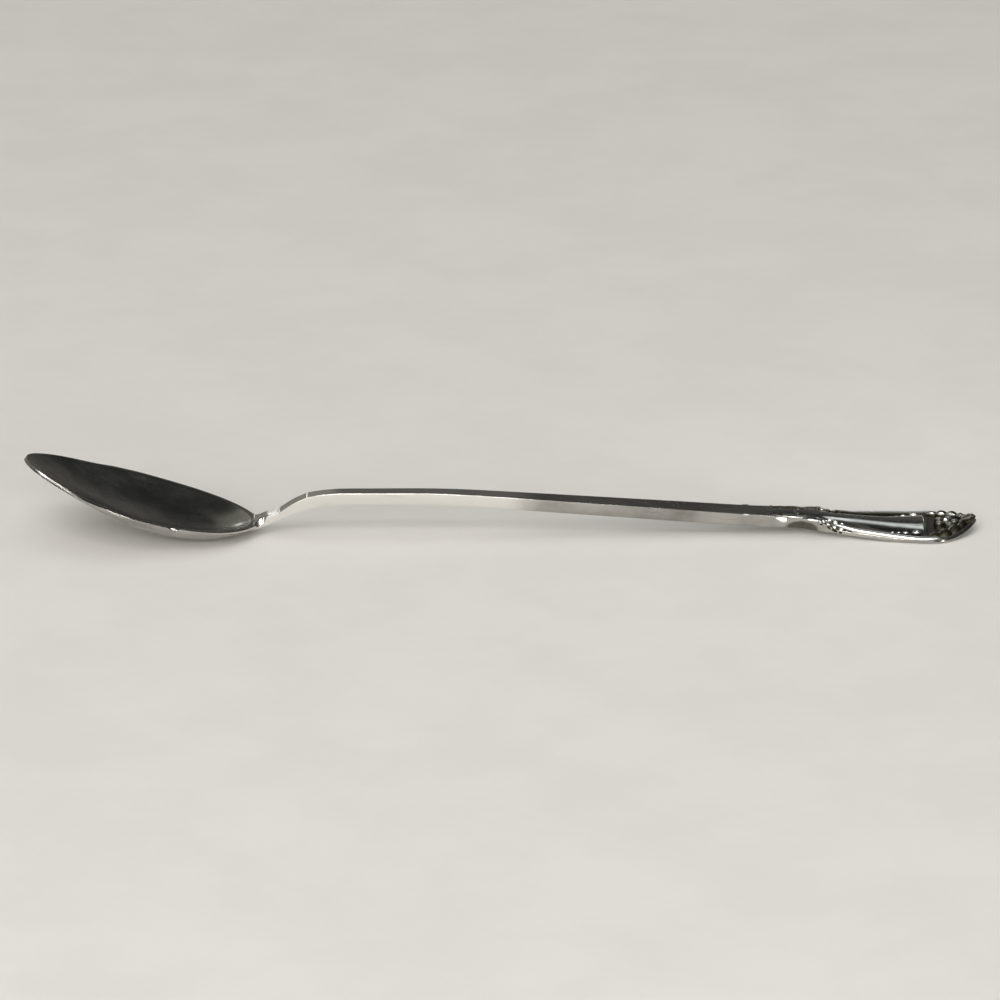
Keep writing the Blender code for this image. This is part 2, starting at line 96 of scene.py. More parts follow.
def soft_higher(a: Number, b: Number, softness: float) -> Array:
    """The higher of two values, with the change-over rounded."""
    return b + soft_ramp(np.asarray(a) - b, softness)


def soft_lower(a: Number, b: Number, softness: float) -> Array:
    """The lower of two values, with the change-over rounded."""
    return -soft_higher(-np.asarray(a), -np.asarray(b), softness)


def bent_line(x: Array, corners: Sequence[Corner]) -> Array:
    """A line that is straight between its corners and softly bent at each.

    Args:
        x: Places along the spoon.
        corners: Each corner's place, value and softness.

    Returns:
        The line's value at each place: the first slope, plus a soft ramp for each change of slope.
    """
    (x_first, first, _), (x_next, following, _) = corners[:2]
    slope = (following - first) / (x_next - x_first)
    value = first + slope * (np.asarray(x, float) - x_first)
    for (x_a, a, softness), (x_b, b, _) in zip(corners[1:], corners[2:]):
        next_slope = (b - a) / (x_b - x_a)
        value = value + (next_slope - slope) * soft_ramp(x - x_a, softness)
        slope = next_slope
    return value


def round_off(inset: Array, radius: Number) -> Array:
    """Drop of a quarter-round edge: the radius at the edge itself, nothing a radius further in."""
    short = np.clip(radius - inset, 0.0, radius)
    return radius - np.sqrt(np.maximum(radius**2 - short**2, 0.0))


def bell(x: Array, middle: float, run: float) -> Array:
    """Smooth bump of height 1 about a middle."""
    return np.exp(-(((np.asarray(x) - middle) / run) ** 2))


def unit(vectors: Array) -> Array:
    """Vectors scaled to length 1."""
    return vectors / np.maximum(np.linalg.norm(vectors, axis=-1, keepdims=True), 1e-12)


class Value:
    """A number that varies over a surface: a socket whose operators add Math nodes."""

    def __init__(self, nodes: "Nodes", socket: bpy.types.NodeSocket) -> None:
        """Wraps a socket of a node tree."""
        self.nodes = nodes
        self.socket = socket

    def _math(self, operation: str, *terms: Union["Value", float]) -> "Value":
        """Result of a new Math node, whose inputs are values or plain numbers."""
        node = self.nodes.make("ShaderNodeMath", {"operation": operation}, dict(enumerate(terms)))
        return Value(self.nodes, node.outputs[0])

    def __add__(self, other: Union["Value", float]) -> "Value":
        """Sum."""
        return self._math("ADD", self, other)

    __radd__ = __add__

    def __sub__(self, other: Union["Value", float]) -> "Value":
        """Difference."""
        return self._math("SUBTRACT", self, other)

    def __rsub__(self, other: float) -> "Value":
        """Difference from a plain number."""
        return self._math("SUBTRACT", other, self)

    def __mul__(self, other: Union["Value", float]) -> "Value":
        """Product."""
        return self._math("MULTIPLY", self, other)

    __rmul__ = __mul__

    def between(self, low: float, high: float) -> "Value":
        """Share of the way from low to high, held to 0 and 1, eased at both ends."""
        inputs = {"Value": self, "From Min": low, "From Max": high}
        node = self.nodes.make("ShaderNodeMapRange", {"interpolation_type": "SMOOTHSTEP"}, inputs)
        return Value(self.nodes, node.outputs[0])


class Nodes:
    """Node tree of a material or of the surroundings."""

    def __init__(self, tree: bpy.types.NodeTree) -> None:
        """Wraps a node tree."""
        self.tree = tree

    def make(self, kind: str, settings: dict[str, Any], inputs: dict[Any, Any]) -> bpy.types.Node:
        """Adds a node.

        Args:
            kind: The node's type.
            settings: Its properties, set before its sockets.
            inputs: Values or links of its sockets, by name or number.

        Returns:
            The new node.
        """
        node = self.tree.nodes.new(kind)
        for key, setting in settings.items():
            setattr(node, key, setting)
        for key, given in inputs.items():
            self.feed(node.inputs[key], given)
        return node

    def feed(self, socket: bpy.types.NodeSocket, given: Any) -> None:
        """Links a value or socket to a socket, or sets a plain value on it."""
        if isinstance(given, Value):
            given = given.socket
        if isinstance(given, bpy.types.NodeSocket):
            self.tree.links.new(given, socket)
        else:
            socket.default_value = given

    def place(self) -> bpy.types.NodeSocket:
        """Object coordinates, in metres."""
        return self.make("ShaderNodeTexCoord", {}, {}).outputs["Object"]

    def lengthwise(self) -> Value:
        """Place along the spoon, in metres."""
        return Value(self, self.make("ShaderNodeSeparateXYZ", {}, {0: self.place()}).outputs[0])

    def noise(
        self, scale: Sequence[float], turn: Sequence[float] = (0, 0, 0), detail: float = 3.0, roughness: float = 0.6
    ) -> Value:
        """Cloudy value about 0.5.

        Args:
            scale: Cells per metre along each axis.
            turn: Turn about each axis before that, in degrees.
            detail: Layers of ever finer cells.
            roughness: Strength of each layer against the one before.

        Returns:
            Noise on the Object coordinates.
        """
        place = self.place()
        if any(turn):
            turned = [math.radians(angle) for angle in turn]
            place = self.make("ShaderNodeMapping", {}, {"Vector": place, "Rotation": turned}).outputs[0]
        place = self.make("ShaderNodeMapping", {}, {"Vector": place, "Scale": list(scale)}).outputs[0]
        inputs = {"Vector": place, "Scale": 1.0, "Detail": detail, "Roughness": roughness}
        return Value(self, self.make("ShaderNodeTexNoise", {}, inputs).outputs[0])

    def attribute(self, name: str) -> Value:
        """A number stored on the mesh's points."""
        return Value(self, self.make("ShaderNodeAttribute", {"attribute_name": name}, {}).outputs["Fac"])

    def blend(self, a: Any, b: Any, share: Value) -> bpy.types.NodeSocket:
        """Colour between two colours, by a share that varies."""
        settings = {"data_type": "RGBA", "clamp_factor": True}
        node = self.make("ShaderNodeMix", settings, {0: share, 6: a, 7: b})
        return node.outputs[2]

    def bump(self, height: Value, distance: float) -> bpy.types.NodeSocket:
        """Normal that follows a height, whose unit is the distance in metres."""
        return self.make("ShaderNodeBump", {}, {"Height": height, "Distance": distance}).outputs[0]


def opaque(colour: Colour) -> tuple[float, float, float, float]:
    """Colour with full opacity."""
    return (*colour, 1.0)


def new_material(name: str) -> tuple[bpy.types.Material, Nodes, bpy.types.Node]:
    """A new node material, its node tree and its shader."""
    material = bpy.data.materials.new(name)
    material.use_nodes = True
    return material, Nodes(material.node_tree), material.node_tree.nodes["Principled BSDF"]


def new_object(name: str, data: Any) -> bpy.types.Object:
    """A new object with the data, linked to the scene."""
    made = bpy.data.objects.new(name, data)
    bpy.context.scene.collection.objects.link(made)
    return made


@dataclass(frozen=True)
class Silver:
    """Worn silver: polishing scratches, finger haze, soft dents, tarnish where cloths don't reach, and painted shade
    in a grey film and in the tarnish colour.
    """

    name: str
    colour: Colour = (0.93, 0.91, 0.87)
    # colour of tarnish in recesses, also used as painted shade where a piece marks it
    tarnish_and_shade_colour: Colour = (0.16, 0.13, 0.10)
    roughness: float = 0.07
    haze: float = 0.10  # roughness added by handling
    scratch: float = 0.12  # roughness added by scratches
    # grey film: partly tarnish, partly painted shade that darkens the reflections
    film_and_shade_colour: Colour = (0.25, 0.238, 0.22)
    film_and_shade_front: float = 0.0  # metres along the spoon where the film and its painted shade start to grow
    film_and_shade_back: float = 0.008
    film_and_shade_least: float = 0.06
    film_and_shade_most: float = 0.90
    film_and_shade_left: float = 1.0  # share of the film and its painted shade left on the handle; taking the rest away paints the handle's reflections lighter
    film_and_shade_thins_from: tuple[float, float] = (0.032, 0.042)  # metres along the spoon where the rest goes, which paints the handle's reflections lighter
    film_haze: float = 0.08  # roughness added by the film
    dent_height: float = 0.00003  # metres
    scratch_height: float = 0.000002

    def material(self) -> bpy.types.Material:
        """Node material of the finish.

        Returns:
            The material. Long fine noise along three directions gives scratches, cloudy noise gives
            haze, dents and a grey film that grows along the spoon and thins on the handle, which is
            partly tarnish and partly painted shade: darker reflections where it lies, lighter ones where
            it thins. Streaks along it give smudges, and the mesh's recess value, broken up by noise,
            gives tarnish and, in places, painted shade.
        """
        material, nodes, shader = new_material(self.name)
        lengthways = nodes.noise((150, 9000, 9000)).between(0.60, 0.74)
        slanting = nodes.noise((200, 7000, 7000), (0, 12, 34)).between(0.62, 0.76)
        crossing = nodes.noise((260, 8000, 8000), (0, -20, -57)).between(0.64, 0.78)
        scratches = lengthways * 0.6 + slanting * 0.5 + crossing * 0.4
        haze = nodes.noise((160, 260, 260), detail=4.0).between(0.42, 0.72)
        dents = nodes.noise((140, 220, 220), detail=1.0, roughness=0.4)
        grain = nodes.noise((2600, 2600, 2600))
        dark = (nodes.attribute("recess") * (0.55 + 0.9 * grain)).between(0.18, 0.85)
        clouds = nodes.noise((90, 160, 160), (0, 0, 20), 4.0).between(0.30, 0.70)
        smudge = nodes.noise((110, 900, 900)).between(0.60, 0.74)
        # painted shade with tarnish: a grey film that darkens the reflections, grown along the spoon and thinned on
        # the handle, where that paints its reflections lighter
        grown = nodes.lengthwise().between(self.film_and_shade_front, self.film_and_shade_back)
        kept_on_handle = 1 - nodes.lengthwise().between(*self.film_and_shade_thins_from) * (1 - self.film_and_shade_left)
        film_and_shade = (self.film_and_shade_least + grown * (self.film_and_shade_most - self.film_and_shade_least)) * kept_on_handle * (0.7 + 0.45 * clouds)
        colour = nodes.blend(opaque(self.colour), opaque(self.film_and_shade_colour), film_and_shade + smudge * 0.22)
        # tarnish in recesses and, on some pieces, painted shade
        colour = nodes.blend(colour, opaque(self.tarnish_and_shade_colour), dark)
        nodes.feed(shader.inputs["Base Color"], colour)
        rough = self.roughness + haze * self.haze + scratches * self.scratch + film_and_shade * self.film_haze + dark * 0.22
        nodes.feed(shader.inputs["Roughness"], rough)
        shader.inputs["Metallic"].default_value = 1.0
        height = dents * (self.dent_height / self.scratch_height) - scratches
        nodes.feed(shader.inputs["Normal"], nodes.bump(height, self.scratch_height))
        return material


@dataclass(frozen=True)
class PaleFloor:
    """Matt pale table top with a faint mottle."""

    name: str = "pale_floor"
    colour: Colour = (0.80, 0.785, 0.76)
    mottle: Colour = (0.77, 0.755, 0.73)

    def material(self) -> bpy.types.Material:
        """Node material of the finish: a cloudy blend of two close tones."""
        material, nodes, shader = new_material(self.name)
        clouds = nodes.noise((40, 40, 40), detail=5.0).between(0.35, 0.65)
        nodes.feed(shader.inputs["Base Color"], nodes.blend(opaque(self.colour), opaque(self.mottle), clouds))
        shader.inputs["Roughness"].default_value = 0.8
        shader.inputs["Specular IOR Level"].default_value = 0.2
        return material


class Materials:
    """Materials made so far, one to a finish."""

    def __init__(self) -> None:
        """Starts with none."""
        self.made: dict[Any, bpy.types.Material] = {}

    def get(self, finish: Any) -> bpy.types.Material:
        """The finish's material, made on first use."""
        if finish not in self.made:
            self.made[finish] = finish.material()
        return self.made[finish]


MATERIALS = Materials()

# the bowl carries most of the grey film: painted shade on its reflections, with tarnish
MIRROR = Silver(
    "polished_bowl", roughness=0.09, haze=0.13, scratch=0.10,
    film_and_shade_front=-0.034, film_and_shade_back=-0.040, film_and_shade_most=0.76, film_haze=0.16,
)
# the back of the stem carries the grey film as painted shade; the handle keeps less of it, which paints its
# reflections lighter
HANDLED = Silver(
    "handled_stem", tarnish_and_shade_colour=(0.14, 0.13, 0.11), roughness=0.10, haze=0.12, scratch=0.16, film_and_shade_left=0.85
)
CHASED = Silver(
    "chased_relief", tarnish_and_shade_colour=(0.055, 0.052, 0.035), roughness=0.24, scratch=0.06,
    film_and_shade_most=0.35, dent_height=0.00001,
)


class Piece:
    """One named piece, gathered from grids of points and welded into one closed mesh."""

    def __init__(self, name: str) -> None:
        """Starts an empty piece.

        Args:
            name: The piece's name.
        """
        self.name = name
        self.points: list[Array] = []
        self.recess: list[Array] = []
        self.faces: list[Array] = []
        self.count = 0

    def add(self, grid: Array, recess: Number = 0.0, around: bool = False) -> None:
        """Adds a grid of points as a surface of quads.

        Args:
            grid: Points, by row and column.
            recess: How much of the finish's tarnish colour each point gets, from 0 to 1: patina where it is hard to
                polish, and painted shade on some pieces.
            around: Whether the last column joins the first.
        """
        rows, columns = grid.shape[:2]
        index = np.arange(rows * columns).reshape(rows, columns) + self.count
        if around:
            index = np.concatenate([index, index[:, :1]], axis=1)
        quads = np.stack([index[:-1, :-1], index[1:, :-1], index[1:, 1:], index[:-1, 1:]], axis=-1)
        self.points.append(grid.reshape(-1, 3))
        self.recess.append(np.broadcast_to(recess, (rows, columns)).reshape(-1))
        self.faces.append(quads.reshape(-1, 4))
        self.count += rows * columns

    def add_both_halves(self, grid: Array, recess: Number = 0.0) -> None:
        """Adds a grid that ends on the middle plane, and its mirror image."""
        self.add(grid, recess)
        self.add(grid * np.array([1, -1, 1]), recess)

    def finish(self, finish: Silver, slot: Slot, nodes: Sequence[str] = ()) -> bpy.types.Object:
        """Welds the grids, turns the faces outwards and dresses the piece.

        Args:
            finish: The finish that the piece gets.
            slot: The record's material slot; not used.
            nodes: The CAD nodes that it stands for.

        Returns:
            The finished object, riding on the spoon.
        """
        mesh = bpy.data.meshes.new(self.name)
        mesh.from_pydata(np.concatenate(self.points) * METRES, [], np.concatenate(self.faces))
        layer = mesh.attributes.new("recess", "FLOAT", "POINT")
        layer.data.foreach_set("value", np.concatenate(self.recess).astype(np.float32))
        shape = bmesh.new()
        shape.from_mesh(mesh)
        bmesh.ops.remove_doubles(shape, verts=shape.verts, dist=WELD)
        bmesh.ops.dissolve_degenerate(shape, edges=shape.edges, dist=WELD)
        bmesh.ops.recalc_face_normals(shape, faces=shape.faces)
        open_edges = sum(1 for edge in shape.edges if not edge.is_manifold)
        shape.to_mesh(mesh)
        shape.free()
        mesh.shade_smooth()
        piece = new_object(self.name, mesh)
        mesh.materials.append(MATERIALS.get(finish))
        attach(piece, "root")
        if nodes:
            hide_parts(*nodes)
        LOG.info("%s: %d faces, %d open edges", self.name, len(mesh.polygons), open_edges)
        return piece


@dataclass(frozen=True)
class SpoonLine:
    """Sizes that the pieces share, and the lines along the spoon that follow from them."""

    bowl_tip: float = -70.0
    bowl_widest: float = -52.8
    heel: float = -35.6
    crank: float = -27.0
    bend: float = -8.4
    shoulder: float = 43.5
    handle_widest: float = 62.3
    handle_tip: float = 70.0
    rest_front: float = 57.5
    rest_back: float = 66.5
    bowl_width: float = 19.6
    bowl_depth: float = 3.45
    depth_lean: float = 0.38  # how much deeper the bowl gets from its widest place to the heel
    bowl_wall: float = 0.9
    fullness: float = 2.7
    rim_edge: float = 0.3
    rim_tip_rise: float = 10.3
    rim_heel_slope: float = 0.145
    throat_softness: float = 0.35
    crest_softness: float = 0.04
    neck_width: float = 2.3
    neck_thickness: float = 1.15
    neck_drop: float = 0.57
    worn_depth: float = 0.06
    crank_softness: float = 1.0
    stem_width: float = 2.4
    stem_thickness: float = 1.8
    bend_height: float = 4.8
    bend_width: float = 2.6
    bend_softness: float = 2.5
    shoulder_height: float = 1.25
    shoulder_width: float = 4.4
    shank_thickness: float = 1.9
    shoulder_thickness: float = 1.7
    shoulder_softness: float = 1.5
    handle_width: float = 12.2
    widest_softness: float = 2.5
    rest_softness: float = 1.0
    rest_worn: float = 0.04
    tip_lift: float = 1.3
    tip_pointedness: float = 0.7
    neck_under: tuple[Corner, ...] = ((-33.8, 2.05, 0.5), (-31.3, 3.25, 0.5), (-27.4, 4.45, 0.6), (-24.5, 4.82, 0.8))
    neck_top: tuple[Corner, ...] = (
        (-35.0, 2.99, 0.2), (-32.5, 3.81, 0.1), (-30.6, 5.13, 0.2),
        (-28.6, 6.05, 0.03), (-27.0, 6.36, 0.4), (-24.5, 6.66, 0.8),
    )
    neck_end: float = -24.0  # where the neck's own top line starts to give way to the bar's thickness
    neck_blend: float = 12.0
    shank: tuple[Corner, ...] = ((36.0, 1.50, 2.0),)  # where the underside starts to level off
    waist: float = 0.12  # how far the sides draw in under the scrolls
    flute: float = 0.30  # how far each side is undercut there
    waist_middle: float = 44.2
    waist_run: float = 1.9
    ridge_front: float = 35.5
    ridge_run: float = 7.0
    ridge_rise: float = 0.22
    heel_height: float = field(init=False)

    def __post_init__(self) -> None:
        """Finds the rim's height at the heel that puts the bowl's lowest place on the table."""
        x = np.linspace(self.bowl_widest, self.heel, 400)
        ratio = (x - self.bowl_widest) / (self.heel - self.bowl_widest)
        low = np.min(self.rim_rise(x) - self.outer_depth(x, ratio))
        object.__setattr__(self, "heel_height", float(-low - self.worn_depth))

    def rim_rise(self, x: Array) -> Array:
        """Height of the rim above its heel: a parabola that steepens towards the tip."""
        run = np.maximum(self.heel - x, 0.0)
        length = self.heel - self.bowl_tip
        bend = (self.rim_tip_rise - self.rim_heel_slope * length) / length**2
        return self.rim_heel_slope * run + bend * run**2

    def hollow(self, x: Array, ratio: Array) -> Array:
        """Share of the bowl's depth, by the share of the way out to the outline, more towards the heel."""
        lean = 1 + self.depth_lean * (x - self.bowl_widest) / (self.heel - self.bowl_widest)
        return lean * (1 - ratio**self.fullness)

    def outer_depth(self, x: Array, ratio: Array) -> Array:
        """Depth of the bowl's underside below the rim."""
        return self.rim_edge + (self.bowl_depth - self.rim_edge) * self.hollow(x, np.minimum(ratio, 1.0))

    def _underline(self, x: Array) -> Array:
        """The underside's line before it is held to the table."""
        corners = (
            (self.heel, self.heel_height - self.neck_drop, 0.1),
            *self.neck_under,
            (self.bend, self.bend_height, self.bend_softness),
            *self.shank,
            (self.shoulder, self.shoulder_height, self.shoulder_softness),
            (self.rest_front, -self.rest_worn, self.rest_softness),
            (self.rest_back, -self.rest_worn, self.rest_softness),
            (self.handle_tip, self.tip_lift, 0.1),
        )
        return bent_line(x, corners)

    def underside(self, x: Array) -> Array:
        """Height of the bar's underside above the table."""
        line = self._underline(x)
        return np.where(np.asarray(x) > self.shoulder, np.maximum(line, 0.0), line)

    def thickness(self, x: Array) -> Array:
        """Upright thickness of the bar.

        Args:
            x: Places along the spoon.

        Returns:
            On the neck, its top's line less its underside's. Behind it, the bar's thickness times the
            length of a step along its slope.
        """
        corners = (
            (self.crank, self.stem_thickness, self.crank_softness),
            (self.shank[0][0], self.shank_thickness, 4.0),
            (self.shoulder, self.shoulder_thickness, self.shoulder_softness),
            (self.handle_tip, self.shoulder_thickness, 0.1),
        )
        step = 0.01
        slope = (self._underline(x + step) - self._underline(x - step)) / (2 * step)
        bar = bent_line(x, corners) * np.hypot(1, slope)
        start = (self.heel, self.heel_height - self.neck_drop + 1.09 * self.neck_thickness, 0.1)
        bend_top = (self.bend, self.bend_height + 0.97 * self.stem_thickness, 0.1)
        neck = bent_line(x, (start, *self.neck_top, bend_top)) - self._underline(x)
        return mix(neck, bar, smooth_step((x - self.neck_end) / self.neck_blend))

    def bar_top(self, x: Array) -> Array:
        """Height of the bar's flat top."""
        return self.underside(x) + self.thickness(x)

    def plain_half_width(self, x: Array) -> Array:
        """Half width of the bar and handle, rounded in to the tip, without the waist."""
        corners = (
            (self.heel, self.neck_width, 0.1),
            (self.crank, self.stem_width, self.crank_softness),
            (self.bend, self.bend_width, self.bend_softness),
            (self.shoulder, self.shoulder_width, self.shoulder_softness),
            (self.handle_widest, self.handle_width, self.widest_softness),
            (self.handle_tip, self.handle_width, 0.1),
        )
        past = np.clip((x - self.handle_widest) / (self.handle_tip - self.handle_widest), 0.0, 1.0)
        return bent_line(x, corners) / 2 * (1 - past**2) ** self.tip_pointedness

    def half_width(self, x: Array) -> Array:
        """Half width of the bar and handle, drawn in at the waist under the scrolls."""
        return self.plain_half_width(x) - self.waist * bell(x, self.waist_middle, self.waist_run)

    def hollow_side(self, x: Array, share: Array) -> Array:
        """Share of the undercut at a share of the height: a bell along, easing from all below to none above."""
        return bell(x, self.waist_middle, self.waist_run) * (1 - smooth_step(share))

    def ridge(self, x: Array, y: Array) -> Array:
        """Rounded ridge along the top, which grows towards the handle."""
        foot = 0.75 * self.half_width(x)
        grown = smooth_step((x - self.ridge_front) / self.ridge_run)
        return self.ridge_rise * grown * np.maximum(1 - (y / foot) ** 2, 0.0)

    def rim(self, x: Array) -> Array:
        """Top of the bowl's rim, which runs up onto the neck at the heel."""
        return soft_higher(self.heel_height + self.rim_rise(x), self.bar_top(x), self.crest_softness)


LINE = SpoonLine()
EDGE_RADIUS = 0.02  # rounded upper edges of the bar
FAR_IN = 9.0  # an inset that lies past every edge's rounding and bevel


def closed_ends(rings: Array) -> Array:
    """Rings with a point at each end, in the middle of the end ring."""
    first = np.broadcast_to(rings[:1].mean(axis=1, keepdims=True), rings[:1].shape)
    last = np.broadcast_to(rings[-1:].mean(axis=1, keepdims=True), rings[-1:].shape)
    return np.concatenate([first, rings, last])


def end_rows(rows: Array) -> Array:
    """Rows of values to go with closed ends: the first and the last row doubled."""
    return np.concatenate([rows[:1], rows, rows[-1:]])


def inward_of(edge: Array) -> Array:
    """Directions square to an outline, on its right-hand side as it runs."""
    along = unit(np.gradient(edge, axis=0))
    return np.stack([along[:, 1], -along[:, 0]], axis=-1)


def swept(
    path: Array, wide: Array, high: Array, sides: int = 20, foot: Number = 0.35, tilt: float = 0.0
) -> tuple[Array, Array]:
    """Elliptical section carried along a path.

    Args:
        path: Points of the middle line.
        wide: Half width of the section at each point, square to the path and level.
        high: Half height of the section at each point.
        sides: Points round the section.
        foot: Share of the half height below which it gets the tarnish colour, for all rings or for each.
        tilt: Degrees that the section leans about the path.

    Returns:
        Rings of points with closed ends: the path, plus cosine and sine of the turn times the level
        and upright directions. And how much of the tarnish colour each point gets, which grows below the foot.
    """
    along = unit(np.gradient(path, axis=0))
    level = unit(np.cross(np.array([0.0, 0.0, 1.0]), along))
    above = np.cross(along, level)
    cosine, sine = math.cos(math.radians(tilt)), math.sin(math.radians(tilt))
    level, above = level * cosine + above * sine, above * cosine - level * sine
    turn = np.linspace(0, 2 * np.pi, sides, endpoint=False)[None, :, None]
    out = level[:, None] * wide[:, None, None] * np.cos(turn)
    up = above[:, None] * high[:, None, None] * np.sin(turn)
    recess = smooth_step((foot - np.sin(turn[..., 0])) / 0.4)
    return closed_ends(path[:, None] + out + up), recess


@dataclass(frozen=True)
class Bowl:
    """Pointed-oval bowl with a flat-ground rim, flowing into a short neck stub."""

    line: SpoonLine = LINE
    oval_end: float = -36.1  # where the outline's oval would close at the heel
    rim_width: float = 0.8
    tip_rounding: float = 4.6
    flank_run: float = 11.0
    stub_end: float = -32.6
    neck_flank: float = 1.0
    neck_reach: float = 1.5
    rim_softness: float = 0.05
    rim_radius: float = 0.05
    tip_bevel: float = 0.26  # depth of the bevel round the tip
    bevel_reach: float = 13.0  # how far behind the tip it starts
    bevel_run: float = 7.0  # over which it gets its full depth
    rim_lift: float = 0.10  # rim above the line that the underside follows
    tip_lift: float = 0.20  # added to it at the tip
    lift_reach: float = 10.0
    lift_run: float = 6.0
    tip_lean: float = 0.17  # how far the side wall leans in at the tip
    left_bevels: tuple[Corner, ...] = ((-35.4, 0.60, 0.75), (-47.9, 0.21, 0.62))  # place, depth and run
    worn_slope: float = 1.5

    def tip_outline(self, inset: float, count: int) -> Array:
        """Half outline from the tip to the widest place.

        Args:
            inset: How far inside the outer outline it lies.
            count: Points along it.

        Returns:
            Points (x, y) of a cubic curve, square to the axis at the tip and level at the widest place.
        """
        half = self.line.bowl_width / 2 - inset
        whole = self.line.bowl_widest - self.line.bowl_tip
        run = whole - inset
        pull = self.flank_run * run / whole
        rounding = self.tip_rounding * half / (self.line.bowl_width / 2)
        t = np.linspace(0, 1, count)
        x = 3 * (1 - t) * t**2 * pull + t**3 * run
        y = 3 * (1 - t) ** 2 * t * rounding + 3 * (1 - t) * t**2 * half + t**3 * half
        return np.stack([self.line.bowl_widest - run + x, y], axis=-1)

    def heel_half_width(self, x: Array) -> Array:
        """Half outline behind the widest place: an ellipse that flows into the neck's sides."""
        line = self.line
        neck = line.half_width(np.maximum(x, line.heel))
        short = 1 - soft_ramp(self.oval_end - x, line.throat_softness) / (self.oval_end - line.bowl_widest)
        oval = (1 - np.maximum(short, 0.0) ** 2) * ((line.bowl_width / 2) ** 2 - neck**2)
        return np.sqrt(neck**2 + oval)

    def outline(self) -> Array:
        """Half outline of the bowl and stub, tip to stub end."""
        line = self.line
        run = line.heel - line.bowl_widest
        heel = line.bowl_widest + run * np.sin(np.linspace(0, np.pi / 2, 110)[1:])
        stub = np.linspace(line.heel, self.stub_end, 26)[1:]
        x = np.concatenate([heel, stub])
        back = np.stack([x, self.heel_half_width(x)], axis=-1)
        return np.concatenate([self.tip_outline(0.0, 100), back])

    def share_out(self, x: Array, y: Array, inset: float) -> Array:
        """Share of the way out from the middle to an inset outline, along each direction.

        Args:
            x: Places along the spoon.
            y: Places across it.
            inset: How far inside the outer outline the share reaches 1.

        Returns:
            The point's distance from the middle over the outline's distance in that direction.
        """
        line = self.line
        turn = np.linspace(0, np.pi / 2, 300)[1:]
        run = self.oval_end - line.bowl_widest - inset
        half = line.bowl_width / 2 - inset
        back = np.stack([line.bowl_widest + run * np.sin(turn), half * np.cos(turn)], axis=-1)
        edge = np.concatenate([self.tip_outline(inset, 400), back])
        edge_turn = np.arctan2(edge[:, 1], line.bowl_widest - edge[:, 0])
        edge_reach = np.hypot(edge[:, 1], line.bowl_widest - edge[:, 0])
        here = np.arctan2(np.abs(y), line.bowl_widest - x)
        return np.hypot(y, line.bowl_widest - x) / np.interp(here, edge_turn, edge_reach)

    def edge_radius(self, x: Array) -> Array:
        """Radius of the rounded edge: the rim's, and the bar's on the neck."""
        return mix(self.rim_radius, EDGE_RADIUS, smooth_step((x - self.line.heel + 1.0) / 3.0))

    def lift(self, x: Array) -> Array:
        """Height that the rim gains towards the tip; none at the heel."""
        near_tip = smooth_step((self.line.bowl_tip + self.lift_reach - x) / self.lift_run)
        gained = self.rim_lift + self.tip_lift * near_tip
        return gained * smooth_step((self.line.heel - 2.0 - x) / 8.0)

    def worn(self, x: Array, inset: Array, side: Side) -> Array:
        """Drop of the worn edges: bevels round the tip and, on the left, over two short stretches of the rim.

        Args:
            x: Places along the spoon.
            inset: Distance from the outline.
            side: The half of the bowl.

        Returns:
            For each bevel, the slope times what is left of its depth, faded out by an ease at the tip
            and by a fourth power elsewhere.
        """
        near_tip = smooth_step((self.line.bowl_tip + self.bevel_reach - x) / self.bevel_run)
        drop = near_tip * np.maximum(self.tip_bevel - inset, 0.0)
        for place, deep, run in self.left_bevels if side is Side.LEFT else ():
            drop = drop + np.exp(-(((x - place) / run) ** 4)) * np.maximum(deep - inset, 0.0)
        return self.worn_slope * drop

    def top(self, x: Array, y: Array, inset: Array, side: Side) -> Array:
        """Rim and hollow: the rim's line, less the hollow's depth, the rounded edge and the worn bevels."""
        line = self.line
        full = line.hollow(x, self.share_out(x, y, self.rim_width))
        depth = soft_ramp((line.bowl_depth - line.bowl_wall) * full, self.rim_softness)
        edge = round_off(inset, self.edge_radius(x)) + self.worn(x, inset, side)
        return line.rim(x) + self.lift(x) - depth - edge

    def bottom(self, x: Array, y: Array, inset: Array) -> Array:
        """Underside: the bowl's and the neck's, joined softly, with the worn spot flat."""
        line = self.line
        bowl = line.rim(x) - line.outer_depth(x, self.share_out(x, y, 0.0))
        beside = np.maximum(np.abs(y) / (line.neck_width / 2) - 1, 0.0)
        past = np.maximum(line.heel - self.neck_reach - x, 0.0)
        neck = line.underside(x + past) + past + self.neck_flank * beside**2
        low = soft_lower(bowl, neck, line.throat_softness)
        return np.maximum(low, 0.0) + round_off(inset, self.edge_radius(x))

